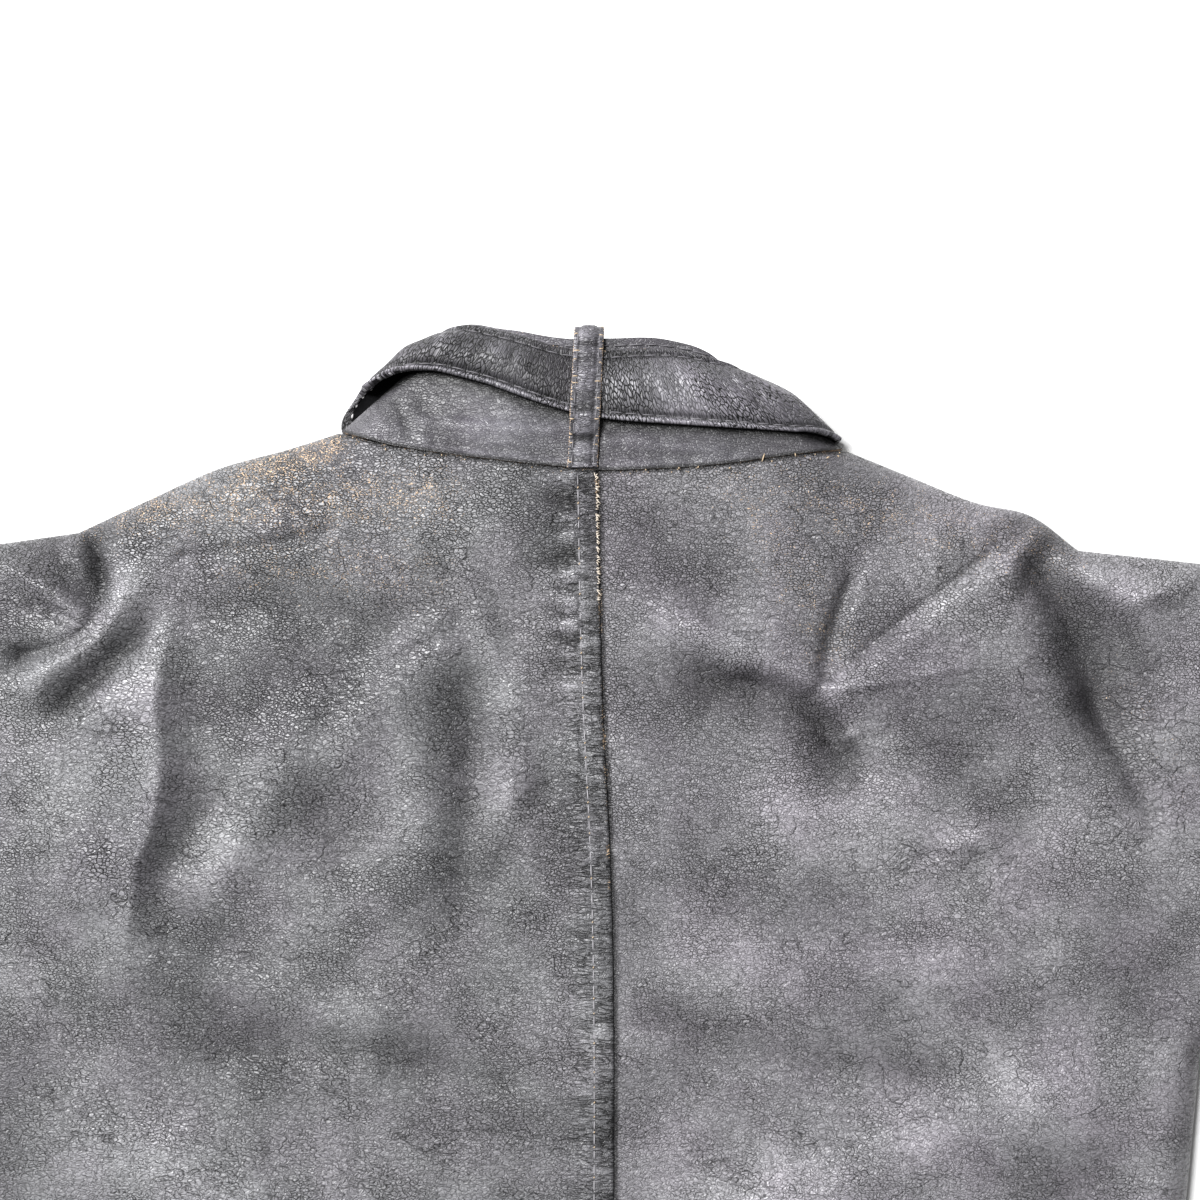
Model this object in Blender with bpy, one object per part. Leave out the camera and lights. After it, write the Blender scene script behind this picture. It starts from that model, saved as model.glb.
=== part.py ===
"""Leather cafe racer jacket laid face down: two-panel back over two fronts, sleeves out, collar with a strap.

The plan is drawn from the centre back neck point, +Y towards the collar and +Z up from the surface.
Every upper panel takes its height from one rule, so panels meet at their seams: a rounded rise from
the folded outline of the garment, plus a table of folds.
"""

from collections import namedtuple

import bpy
import numpy as np

# Columns of the tables below
Reach = namedtuple("Reach", "x y")
Point = namedtuple("Point", "x y")
Fold = namedtuple("Fold", "x0 y0 x1 y1 rise reach")
Strap = namedtuple("Strap", "turn low high off")
Keeper = namedtuple("Keeper", "rise off")

# Driving dimensions, in metres
LEATHER = 0.0014          # one layer of garment leather
COLLAR_LEATHER = 0.0016   # turned and stitched leather of the collar, strap and keeper
SEAM_GAP = 0.0003         # clearance between pieces at a seam
EDGE_GAP = 0.0007         # between the outer edges of the two layers at a rounded seam
NECK_GAP = 0.0007         # between the back and the collar
BACK_LENGTH = 0.600       # neck seam to hem at the centre back
COLLAR_RISE = 0.0614      # neck seam to the keeper's bend over the collar
SEAM_HEIGHT = 0.0045      # side, shoulder and sleeve seams above the surface
UPPER_ROLL = 0.016        # width of the rounded edge of the upper layer
LOWER_ROLL = 0.009        # width of the rounded edge of the lower layer
LOFT = 0.0130             # rise of the upper layer above its seams
NECK_LOFT = 0.0065        # further rise behind the neck
NECK_LOFT_REACH = Reach(0.130, 0.080)    # how far that rise spreads
HEM_SLACK = 0.0035        # how far the loft falls off to the hem
LAP_WIDTH = 0.0085        # right back panel's edge, hidden under the left one
LAP_RAMP = 0.0070         # width over which the left panel climbs onto the right one
LAP_SPARE = 0.0015        # level stretch of the left panel past the hidden edge
LAP_GAP = 0.0006
FRONT_CENTRE = 0.005      # the zip's place along X
FRONT_NECK_DEPTH = 0.076  # front neck below the back neck
ZIP_OPENING = 0.0045      # half the distance between the front edges
ZIP_END = 0.004           # zip's ends in from the hem and the neck
ZIP_TAPE_WIDTH = 0.012
ZIP_TAPE_THICK = 0.0006
ZIP_CHAIN_WIDTH = 0.0052
ZIP_CHAIN_THICK = 0.0016
ZIP_SLIDER = (0.0048, 0.0110, 0.0028)
KEEPER_WIDTH = 0.0128
NECK_Y = (BACK_LENGTH - COLLAR_RISE) / 2    # puts the origin under the middle of the garment

# Rows of the grids, as distances in from a rounded edge
ROLL_STEPS = (0.0, 0.0001, 0.0010, 0.0045, 0.0120)
CURVE_POINTS = 400

# Plan outlines
BACK_NECK = (
    Point(-0.1037, 0.0158), Point(-0.0780, 0.0094), Point(-0.0508, 0.0055), Point(-0.0047, 0.0004),
    Point(0.0102, -0.0009), Point(0.0316, -0.0004), Point(0.0576, 0.0013), Point(0.0943, 0.0060),
    Point(0.1160, 0.0081),
)
FRONT_NECK = (
    Point(-0.1037, 0.0158), Point(-0.0905, -0.0100), Point(-0.0725, -0.0400), Point(-0.0430, -0.0650),
    Point(FRONT_CENTRE, -FRONT_NECK_DEPTH),
    Point(0.0540, -0.0660), Point(0.0850, -0.0420), Point(0.1030, -0.0140), Point(0.1160, 0.0081),
)
SHOULDER = {
    "left": (Point(-0.1037, 0.0158), Point(-0.1237, 0.0094), Point(-0.1544, 0.0009), Point(-0.1851, -0.0128),
             Point(-0.2154, -0.0269)),
    "right": (Point(0.1160, 0.0081), Point(0.1425, -0.0026), Point(0.1732, -0.0145), Point(0.1937, -0.0190),
              Point(0.2154, -0.0346)),
}
ARMHOLE = {
    "left": (Point(-0.2640, -0.2460), Point(-0.2420, -0.2000), Point(-0.2250, -0.1550),
             Point(-0.2130, -0.1150), Point(-0.2045, -0.0800), Point(-0.2015, -0.0559),
             Point(-0.2050, -0.0388), Point(-0.2154, -0.0269)),
    "right": (Point(0.2680, -0.2500), Point(0.2490, -0.1950), Point(0.2365, -0.1450),
              Point(0.2260, -0.1070), Point(0.2141, -0.0745), Point(0.2075, -0.0600),
              Point(0.2065, -0.0460), Point(0.2154, -0.0346)),
}
SIDE = {
    "left": (Point(-0.2450, -0.6000), Point(-0.2440, -0.5000), Point(-0.2520, -0.3800),
             Point(-0.2600, -0.2900), Point(-0.2640, -0.2460)),
    "right": (Point(0.2450, -0.6000), Point(0.2450, -0.5000), Point(0.2550, -0.3800),
              Point(0.2640, -0.2940), Point(0.2680, -0.2500)),
}
SLEEVE_TOP = {
    "left": (Point(-0.2154, -0.0269), Point(-0.2363, -0.0299), Point(-0.3000, -0.0385),
             Point(-0.4500, -0.0625), Point(-0.6000, -0.1010), Point(-0.7950, -0.1690)),
    "right": (Point(0.2154, -0.0346), Point(0.2551, -0.0388), Point(0.3000, -0.0440),
              Point(0.4500, -0.0680), Point(0.6000, -0.1065), Point(0.7950, -0.1745)),
}
SLEEVE_UNDER = {
    "left": (Point(-0.2640, -0.2460), Point(-0.3400, -0.2470), Point(-0.4600, -0.2475),
             Point(-0.6000, -0.2620), Point(-0.7580, -0.2890)),
    "right": (Point(0.2680, -0.2500), Point(0.3400, -0.2515), Point(0.4600, -0.2525),
              Point(0.6000, -0.2670), Point(0.7580, -0.2945)),
}
CENTRE_BACK = (
    Point(0.0120, -0.6000), Point(0.0150, -0.3500), Point(0.0137, -0.1677), Point(0.0102, -0.0943),
    Point(0.0081, -0.0008),
)

# Folds of the upper layer: a ridge or trough along a line, with its height and half width
BODY_FOLDS = (
    Fold(-0.2120, -0.0300, -0.2010, -0.0560, -0.0060, 0.0070),
    Fold(-0.2010, -0.0560, -0.2274, -0.0772, -0.0060, 0.0080),
    Fold(-0.1930, -0.0560, -0.2220, -0.0845, 0.0060, 0.0100),
    Fold(-0.1834, -0.0734, -0.2107, -0.0926, -0.0060, 0.0080),
    Fold(-0.1940, -0.0950, -0.1985, -0.1420, 0.0085, 0.0190),
    Fold(-0.1680, -0.0800, -0.1660, -0.1500, -0.0050, 0.0120),
    Fold(-0.1400, -0.1300, -0.1050, -0.1900, 0.0035, 0.0160),
    Fold(-0.0760, -0.0800, -0.0640, -0.1700, -0.0030, 0.0130),
    Fold(-0.0430, -0.0760, -0.0330, -0.1650, 0.0035, 0.0130),
    Fold(0.1015, -0.0943, 0.1668, -0.0388, -0.0045, 0.0080),
    Fold(0.1060, -0.0860, 0.1237, -0.0486, -0.0040, 0.0080),
    Fold(0.1110, -0.0930, 0.1480, -0.0879, 0.0030, 0.0120),
    Fold(0.0469, -0.0683, 0.0900, -0.0890, 0.0040, 0.0120),
    Fold(0.0500, -0.1030, 0.0880, -0.1060, -0.0050, 0.0120),
    Fold(0.1015, -0.0980, 0.1139, -0.1173, -0.0030, 0.0080),
    Fold(0.2120, -0.0410, 0.2346, -0.0550, 0.0040, 0.0090),
    Fold(0.1992, -0.0400, 0.2141, -0.0729, -0.0060, 0.0100),
    Fold(0.2141, -0.0729, 0.2269, -0.1070, -0.0070, 0.0130),
    Fold(0.1928, -0.0230, 0.1630, -0.0430, -0.0030, 0.0080),
    Fold(-0.1900, -0.2900, -0.0600, -0.3700, 0.0050, 0.0220),
    Fold(-0.2000, -0.3500, -0.0700, -0.4500, -0.0040, 0.0200),
    Fold(0.0700, -0.3300, 0.2000, -0.2700, 0.0050, 0.0220),
    Fold(0.0600, -0.4200, 0.2100, -0.3700, -0.0040, 0.0200),
    Fold(-0.1000, -0.5600, -0.1300, -0.4400, 0.0030, 0.0200),
    Fold(0.1100, -0.5700, 0.1500, -0.4600, 0.0030, 0.0200),
)
# Sleeve folds, drawn for the left sleeve and mirrored for the right
SLEEVE_FOLDS = (
    Fold(-0.2950, -0.0650, -0.3700, -0.1900, 0.0050, 0.0190),
    Fold(-0.3450, -0.0600, -0.3950, -0.1600, -0.0045, 0.0160),
    Fold(-0.4600, -0.2150, -0.5500, -0.1200, 0.0055, 0.0170),
    Fold(-0.4950, -0.2300, -0.5850, -0.1450, -0.0050, 0.0150),
    Fold(-0.5450, -0.2350, -0.6450, -0.1700, 0.0050, 0.0160),
    Fold(-0.6900, -0.1850, -0.7150, -0.2550, 0.0030, 0.0150),
)

# Collar's free edge in plan, from left fold to right fold: one arc over the back, one under it
STAND_TOP_BACK = (
    Point(-0.0560, 0.0570), Point(-0.0503, 0.0610), Point(-0.0316, 0.0597), Point(-0.0026, 0.0555),
    Point(0.0115, 0.0556), Point(0.0380, 0.0552), Point(0.0542, 0.0503), Point(0.0640, 0.0430),
)
STAND_TOP_FRONT = (
    Point(-0.0560, 0.0570), Point(-0.0600, 0.0360), Point(-0.0540, 0.0100), Point(-0.0320, -0.0150),
    Point(FRONT_CENTRE, -0.0240),
    Point(0.0430, -0.0160), Point(0.0660, 0.0060), Point(0.0700, 0.0260), Point(0.0640, 0.0430),
)
STAND_BACK_HEIGHT = 0.0180    # free edge over the surface at the centre back
STAND_FRONT_HEIGHT = 0.0045   # free edge over the surface at the centre front
STAND_FRONT_SEAM = 0.0010     # neck seam over the surface at the centre front
STAND_FOLD_HEIGHT = 0.0100    # free edge over the surface at the side folds
COLLAR_INSET = 0.0028         # side folds of the collar in from the neck corners
FOLD_GAP = 0.0010             # further clearance of the side folds from the back
STAND_ROUNDING = 0.6          # power of the side folds' round section
FRONT_OPENING = 0.07          # half the collar's opening at the front, as a turn in radians

# Strap round the collar: turn in degrees from the left fold over the back, its edges as parts of the
# collar's height, and how far its lower edge stands off
STRAP = (
    Strap(-90, 0.38, 0.92, 0.0000), Strap(-45, 0.32, 0.88, 0.0010), Strap(-25, 0.22, 0.84, 0.0035),
    Strap(-10, 0.22, 0.84, 0.0060), Strap(0, 0.32, 0.88, 0.0075), Strap(20, 0.52, 0.96, 0.0060),
    Strap(50, 0.57, 0.98, 0.0035), Strap(90, 0.39, 0.906, 0.0030), Strap(125, 0.32, 0.91, 0.0020),
    Strap(160, 0.26, 0.90, 0.0020), Strap(180, 0.30, 0.90, 0.0010), Strap(225, 0.38, 0.92, 0.0000),
    Strap(270, 0.38, 0.92, 0.0000),
)
# Keeper's middle line over the centre back: part of the collar's height, and distance out from its face
KEEPER = (
    Keeper(0.010, 0.0015), Keeper(0.120, 0.0015), Keeper(0.230, 0.0022), Keeper(0.320, 0.0050),
    Keeper(0.400, 0.0068), Keeper(0.650, 0.0052), Keeper(0.900, 0.0040), Keeper(1.020, 0.0032),
    Keeper(1.075, 0.0018), Keeper(1.092, -0.0006), Keeper(1.060, -0.0030), Keeper(0.980, -0.0034),
    Keeper(0.800, -0.0032),
)
KEEPER_FOOT_X = 0.0020
KEEPER_LEAN = 0.047           # sideways lean, metres to the metre

# Grid counts
BACK_COLUMNS = (7, 8)
BACK_ROWS = 10
FRONT_COLUMNS = (4, 4)
FRONT_ROWS = 4
SLEEVE_LENGTHWISE = 19
UNDERSLEEVE_LENGTHWISE = 9
ARMHOLE_ROWS = (5, 5)
COLLAR_TURNS = 44
STAND_ROWS = 5
STRAP_ROWS = 4
KEEPER_ROWS = 25
LAP_STEPS = (0.0, 0.0050, 0.0100, 0.0170)
NECK_CORNER_STEPS = (0.0120, 0.0070, 0.0030)
PLAIN_EDGE = (0.0,)


def smooth_line(points):
    """Dense line through a table's points: cubics between neighbours, their slopes from the points around."""
    table = np.array(points, float)
    chord = np.concatenate(([0.0], np.cumsum(np.linalg.norm(np.diff(table, axis=0), axis=1))))
    slope = np.gradient(table, chord, axis=0)
    at = np.linspace(0.0, chord[-1], CURVE_POINTS)
    left = np.clip(np.searchsorted(chord, at, side="right") - 1, 0, len(chord) - 2)
    step = (chord[left + 1] - chord[left])[:, None]
    part = (at - chord[left])[:, None] / step
    ease = 3 * part**2 - 2 * part**3
    start = (1 - ease) * table[left] + (part**3 - 2 * part**2 + part) * step * slope[left]
    end = ease * table[left + 1] + (part**3 - part**2) * step * slope[left + 1]
    return start + end


def lengths(line):
    """Distance along a line to each of its points."""
    return np.concatenate(([0.0], np.cumsum(np.linalg.norm(np.diff(line, axis=0), axis=1))))


def along(line, fractions):
    """Points of a line at fractions of its length."""
    distance = lengths(line)
    at = np.asarray(fractions) * distance[-1]
    return np.stack([np.interp(at, distance, line[:, axis]) for axis in range(line.shape[1])], axis=1)


def joined(first, second):
    """Two lines end to end, and the fraction of the length at which they meet."""
    line = np.concatenate((first, second[1:]))
    distance = lengths(line)
    return line, distance[len(first) - 1] / distance[-1]


def away_from(x, y, x0, y0, x1, y1):
    """Distance in plan from each point to a straight segment."""
    run = x1 - x0
    climb = y1 - y0
    part = np.clip(((x - x0) * run + (y - y0) * climb) / (run**2 + climb**2), 0.0, 1.0)
    return np.hypot(x - x0 - part * run, y - y0 - part * climb)


def folded_outlines():
    """Lines where the flat garment turns under: shoulders with sleeve tops, sides with sleeve undersides."""
    lines = []
    for side in ("left", "right"):
        lines.append(joined(smooth_line(SHOULDER[side]), smooth_line(SLEEVE_TOP[side]))[0])
        lines.append(joined(smooth_line(SIDE[side]), smooth_line(SLEEVE_UNDER[side]))[0])
    return lines


def mirrored(fold):
    return fold._replace(x0=-fold.x0, x1=-fold.x1)


OUTLINES = folded_outlines()
FOLDS = BODY_FOLDS + SLEEVE_FOLDS + tuple(mirrored(fold) for fold in SLEEVE_FOLDS)


def edge_distance(x, y):
    """Distance in plan to the nearest folded outline."""
    nearest = np.full(np.shape(x), np.inf)
    for line in OUTLINES:
        for start, end in zip(line[:-1], line[1:]):
            nearest = np.minimum(nearest, away_from(x, y, *start, *end))
    return nearest


def rounded(distance, width):
    """Quarter ellipse: 0 on the edge, upright there, and 1 at the given width from it."""
    inside = np.clip(distance / width, 0.0, 1.0)
    return np.sqrt(1.0 - (1.0 - inside) ** 2)


def upper_height(x, y):
    """Outer face of the back and of the sleeves' back halves."""
    rise = LOFT + NECK_LOFT * np.exp(-((x / NECK_LOFT_REACH.x) ** 2) - (y / NECK_LOFT_REACH.y) ** 2)
    rise = rise - HEM_SLACK * np.clip(-y / BACK_LENGTH, 0.0, 1.0)
    for fold in FOLDS:
        rise = rise + fold.rise * np.exp(-((away_from(x, y, *fold[:4]) / fold.reach) ** 2))
    return SEAM_HEIGHT + EDGE_GAP / 2 + rise * rounded(edge_distance(x, y), UPPER_ROLL)


def lower_height(x, y):
    """Outer face of the fronts and the sleeves' front halves: flat on the surface, turned up at the edges."""
    return (SEAM_HEIGHT - EDGE_GAP / 2) * (1.0 - rounded(edge_distance(x, y), LOWER_ROLL))


def stations(length, first_steps, corner, counts, last_steps, corner_steps=()):
    """Fractions across a panel: fine steps in from each edge, even ones between, and one on its corner."""
    first = np.array(first_steps) / length
    last = 1.0 - np.array(last_steps[::-1]) / length
    near = np.concatenate((corner - np.array(corner_steps) / length, [corner]))
    before = np.linspace(first[-1], near[0], counts[0] + 1)[1:-1]
    after = np.linspace(corner, last[0], counts[1] + 1)[1:-1]
    return np.concatenate((first, before, near, after, last))


def patch(low, high, start, end, across, upward):
    """Plan grid between four edge lines: the two blends of opposite edges, less the blend of the corners."""
    s = across[None, :, None]
    t = upward[:, None, None]
    rows = (1 - t) * along(low, across)[None] + t * along(high, across)[None]
    columns = (1 - s) * along(start, upward)[:, None] + s * along(end, upward)[:, None]
    corners = (1 - t) * ((1 - s) * low[0] + s * low[-1]) + t * ((1 - s) * high[0] + s * high[-1])
    return rows + columns - corners


def raised(plan, height):
    """Plan grid with a height rule laid over it."""
    x, y = plan[..., 0], plan[..., 1]
    return np.stack((x, y, height(x, y)), axis=-1)


def new_material(name, colour, roughness, metallic=0.0):
    material = bpy.data.materials.new(name)
    material.use_nodes = True
    shader = material.node_tree.nodes["Principled BSDF"]
    shader.inputs["Base Color"].default_value = (*colour, 1.0)
    shader.inputs["Roughness"].default_value = roughness
    shader.inputs["Metallic"].default_value = metallic
    return material


def add_object(name, mesh, material, root):
    for polygon in mesh.polygons:
        polygon.use_smooth = True
    mesh.materials.append(material)
    piece = bpy.data.objects.new(name, mesh)
    bpy.context.scene.collection.objects.link(piece)
    piece.parent = root
    return piece


def add_cloth(name, grid, thickness, material, root, flip=False, offset=-1.0):
    """Cloth wall: a grid of points as its outer face, thickened inwards."""
    rows, columns = grid.shape[:2]
    corner = (np.arange(rows - 1)[:, None] * columns + np.arange(columns - 1)[None, :]).ravel()
    faces = np.stack((corner, corner + 1, corner + columns + 1, corner + columns), axis=1)
    if flip:
        faces = faces[:, ::-1]
    mesh = bpy.data.meshes.new(name)
    mesh.from_pydata(grid.reshape(-1, 3).tolist(), [], faces.tolist())
    piece = add_object(name, mesh, material, root)
    wall = piece.modifiers.new("wall", "SOLIDIFY")
    wall.thickness = thickness
    wall.offset = offset
    wall.use_quality_normals = True
    return piece


def add_block(name, low, high, material, root):
    """Plain block between two corners."""
    mesh = bpy.data.meshes.new(name)
    corners = [(x, y, z) for x in (low[0], high[0]) for y in (low[1], high[1]) for z in (low[2], high[2])]
    sides = [(0, 1, 3, 2), (4, 6, 7, 5), (0, 4, 5, 1), (2, 3, 7, 6), (0, 2, 6, 4), (1, 5, 7, 3)]
    mesh.from_pydata(corners, [], sides)
    return add_object(name, mesh, material, root)


def moved(line, x=0.0, y=0.0):
    return line + np.array((x, y))


def neck_part(first_x, last_x):
    """Back neck seam between two places along X."""
    line = smooth_line(BACK_NECK)
    x = np.linspace(first_x, last_x, CURVE_POINTS)
    return np.stack((x, np.interp(x, line[:, 0], line[:, 1])), axis=1)


def trimmed(line, first=0.0, last=0.0):
    """A line with lengths cut from its ends."""
    length = lengths(line)[-1]
    return along(line, np.linspace(first / length, 1.0 - last / length, CURVE_POINTS))


def armhole_between(side, first, last):
    """Armhole line from underarm to shoulder, moved so that it starts and ends at the given points."""
    line = smooth_line(ARMHOLE[side])
    part = np.linspace(0.0, 1.0, len(line))[:, None]
    return line + (1.0 - part) * (first - line[0]) + part * (last - line[-1])


def armhole_rows(side):
    """Fractions along the armhole, shared by the body and the sleeve so that their edges match."""
    return stations(lengths(smooth_line(ARMHOLE[side]))[-1], ROLL_STEPS, 0.5, ARMHOLE_ROWS, ROLL_STEPS)


def lap_rise(x, y):
    """Step by which the left back panel lies on the right one."""
    edge = smooth_line(CENTRE_BACK)
    from_edge = np.interp(y, edge[:, 1], edge[:, 0]) - x
    climb = np.clip((LAP_WIDTH + LAP_SPARE + LAP_RAMP - from_edge) / LAP_RAMP, 0.0, 1.0)
    return (LEATHER + LAP_GAP) * climb**2 * (3 - 2 * climb)


def left_back_height(x, y):
    return upper_height(x, y) + lap_rise(x, y)


def body_panel(centre, neck, side, first_steps, columns, rows):
    """Plan of half a body layer, from its centre line to its side seam and armhole."""
    shoulder = trimmed(smooth_line(SHOULDER[side]), last=SEAM_GAP)
    seam = trimmed(smooth_line(SIDE[side]), last=SEAM_GAP)
    top, neck_corner = joined(neck, shoulder)
    outer, underarm = joined(seam, armhole_between(side, seam[-1], shoulder[-1]))
    hem = np.linspace(centre[0], outer[0], CURVE_POINTS)
    across = stations(lengths(top)[-1], first_steps, neck_corner, columns, ROLL_STEPS, NECK_CORNER_STEPS)
    below = np.linspace(0.0, underarm, rows, endpoint=False)
    upward = np.concatenate((below, underarm + (1.0 - underarm) * armhole_rows(side)))
    return patch(hem, top, centre, outer, across, upward)


def add_back(leather, root):
    """Two back panels, the left one lapped over the right at the centre seam."""
    centre = smooth_line(CENTRE_BACK)
    left_neck = neck_part(centre[-1, 0], BACK_NECK[0].x)
    left = body_panel(centre, left_neck, "left", LAP_STEPS, BACK_COLUMNS, BACK_ROWS)
    add_cloth("back_left", raised(left, left_back_height), LEATHER, leather, root, flip=True)
    hidden = moved(centre, x=-LAP_WIDTH)
    right_neck = neck_part(hidden[-1, 0], BACK_NECK[-1].x)
    hidden[-1, 1] = right_neck[0, 1]
    right = body_panel(hidden, right_neck, "right", LAP_STEPS, BACK_COLUMNS, BACK_ROWS)
    add_cloth("back_right", raised(right, upper_height), LEATHER, leather, root)


def add_fronts(leather, root):
    """Two fronts under the back, with the zip's gap between them."""
    neck = smooth_line(FRONT_NECK)
    for side, sign in (("left", -1), ("right", 1)):
        edge_x = FRONT_CENTRE + sign * ZIP_OPENING
        half = neck[neck[:, 0] < edge_x][::-1] if sign < 0 else neck[neck[:, 0] > edge_x]
        half = np.concatenate(([[edge_x, -FRONT_NECK_DEPTH]], half))
        centre = np.linspace((edge_x, -BACK_LENGTH), half[0], CURVE_POINTS)
        plan = body_panel(centre, half, side, PLAIN_EDGE, FRONT_COLUMNS, FRONT_ROWS)
        add_cloth(f"front_{side}", raised(plan, lower_height), LEATHER, leather, root, flip=sign > 0)


def add_sleeve(side, leather, root):
    """Back and front halves of a sleeve, from the armhole to the cuff."""
    leftward = SHOULDER[side][-1].x < 0.0
    top = trimmed(smooth_line(SLEEVE_TOP[side]), first=SEAM_GAP)
    under = trimmed(smooth_line(SLEEVE_UNDER[side]), first=SEAM_GAP)
    armhole = armhole_between(side, under[0], top[0])
    cuff = np.linspace(under[-1], top[-1], CURVE_POINTS)
    for half, height, lengthwise in (
        ("back", upper_height, SLEEVE_LENGTHWISE),
        ("front", lower_height, UNDERSLEEVE_LENGTHWISE),
    ):
        plan = patch(under, top, armhole, cuff, np.linspace(0.0, 1.0, lengthwise), armhole_rows(side))
        flip = leftward == (half == "back")
        add_cloth(f"sleeve_{side}_{half}", raised(plan, height), LEATHER, leather, root, flip=flip)


def collar_ring(turn, back_line, front_line):
    """Plan points round the flattened collar: the back line where it lies on top, the front line beneath."""
    part = (1.0 - np.cos(turn)) / 2
    on_top = (np.sin(turn) >= 0.0)[:, None]
    return np.where(on_top, along(back_line, part), along(front_line, part))


def ring_height(turn, top, fold, under):
    """Height round the flattened collar: round at the side folds, level between them."""
    swing = np.abs(np.sin(turn)) ** STAND_ROUNDING
    return np.where(np.sin(turn) >= 0.0, fold + (top - fold) * swing, fold + (under - fold) * swing)


def collar_edges(turn):
    """Neck seam and free edge of the stand collar at each turn."""
    back = moved(neck_part(BACK_NECK[0].x + COLLAR_INSET, BACK_NECK[-1].x - COLLAR_INSET), y=NECK_GAP)
    front = smooth_line(FRONT_NECK)
    middle = np.array((FRONT_CENTRE, 0.0))
    front = middle + (front - middle) * (1.0 - COLLAR_INSET / BACK_NECK[-1].x)
    front[0] = back[0]
    front[-1] = back[-1]
    plan = collar_ring(turn, back, front)
    plan[:, 1] += FOLD_GAP * (1.0 - np.abs(np.sin(turn))) ** 2
    seam_height = ring_height(turn, 0.0, SEAM_HEIGHT, STAND_FRONT_SEAM)
    on_back = upper_height(plan[:, 0], plan[:, 1] - NECK_GAP)
    height = np.where(np.sin(turn) > 0.0, on_back, seam_height)
    seam = np.column_stack((plan, height))
    plan = collar_ring(turn, smooth_line(STAND_TOP_BACK), smooth_line(STAND_TOP_FRONT))
    height = ring_height(turn, STAND_BACK_HEIGHT, STAND_FOLD_HEIGHT, STAND_FRONT_HEIGHT)
    free = np.column_stack((plan, height))
    return seam, free


def outward_normals(grid):
    """Unit normals of a collar grid, whose rows go round it and whose columns go up it."""
    normal = np.cross(np.gradient(grid, axis=0), np.gradient(grid, axis=1))
    return normal / np.linalg.norm(normal, axis=-1, keepdims=True)


def collar_face(turn, rises):
    """Outer face of the stand collar: straight from the neck seam to the free edge at every turn."""
    seam, free = collar_edges(turn)
    return seam[:, None] + rises[..., None] * (free - seam)[:, None]


def strap_table(turn):
    """Lower edge, upper edge and stand-off of the strap at each turn."""
    rows = np.array(STRAP)
    return [np.interp(np.degrees(turn), rows[:, 0], rows[:, column]) for column in (1, 2, 3)]


def add_collar(leather, root):
    """Stand collar, the strap round it and the keeper that holds the strap at the centre back."""
    turn = np.linspace(-np.pi / 2 + FRONT_OPENING, 1.5 * np.pi - FRONT_OPENING, COLLAR_TURNS)
    rises = np.tile(np.linspace(0.0, 1.0, STAND_ROWS), (COLLAR_TURNS, 1))
    add_cloth("collar_stand", collar_face(turn, rises), COLLAR_LEATHER, leather, root, flip=True)

    low, high, off = strap_table(turn)
    part = np.linspace(0.0, 1.0, STRAP_ROWS)
    face = collar_face(turn, low[:, None] + (high - low)[:, None] * part)
    normal = outward_normals(face)
    aside = normal * np.array((1.0, 1.0, 0.0)) + np.clip(normal, 0.0, 1.0) * np.array((0.0, 0.0, 1.0))
    stand_off = off[:, None] * (1.0 - part)
    strap = face + normal * (COLLAR_LEATHER + SEAM_GAP) + aside * stand_off[..., None]
    add_cloth("collar_strap", strap, COLLAR_LEATHER, leather, root, flip=True)

    centre = np.full(len(KEEPER), np.pi / 2)
    seam, free = collar_edges(centre)
    rise, out = np.array(KEEPER).T
    middle = seam + rise[:, None] * (free - seam)
    up = free[0] - seam[0]
    normal = np.array((0.0, -up[2], up[1])) / np.hypot(up[1], up[2])
    middle = middle + out[:, None] * normal
    middle = along(smooth_line(middle), np.linspace(0.0, 1.0, KEEPER_ROWS))
    edges = []
    for side in (-1, 0, 1):
        edge = middle.copy()
        edge[:, 0] = KEEPER_FOOT_X + KEEPER_LEAN * middle[:, 1] + side * KEEPER_WIDTH / 2
        edges.append(edge)
    add_cloth("keeper_loop", np.stack(edges, axis=1), COLLAR_LEATHER, leather, root, offset=0.0)


def add_zip(tape, metal, root):
    """Closed zip between the fronts: two tapes on their inside, the chain between them and its slider."""
    bottom = -BACK_LENGTH + ZIP_END
    top = -FRONT_NECK_DEPTH - ZIP_END
    slider_foot = top - ZIP_SLIDER[1]
    chain_side = ZIP_CHAIN_WIDTH / 2
    tape_low = LEATHER + SEAM_GAP
    for side, sign in (("left", -1), ("right", 1)):
        near = FRONT_CENTRE + sign * (chain_side + SEAM_GAP)
        far = near + sign * ZIP_TAPE_WIDTH
        low = (min(near, far), bottom, tape_low)
        high = (max(near, far), top, tape_low + ZIP_TAPE_THICK)
        add_block(f"zip_tape_{side}", low, high, tape, root)
    chain_low = (FRONT_CENTRE - chain_side, bottom, tape_low + ZIP_TAPE_THICK - ZIP_CHAIN_THICK)
    chain_high = (FRONT_CENTRE + chain_side, slider_foot - SEAM_GAP, tape_low + ZIP_TAPE_THICK)
    add_block("zip_chain", chain_low, chain_high, metal, root)
    slider_low = (FRONT_CENTRE - ZIP_SLIDER[0] / 2, slider_foot, SEAM_GAP)
    slider_high = (FRONT_CENTRE + ZIP_SLIDER[0] / 2, top, SEAM_GAP + ZIP_SLIDER[2])
    add_block("zip_slider", slider_low, slider_high, metal, root)


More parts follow.
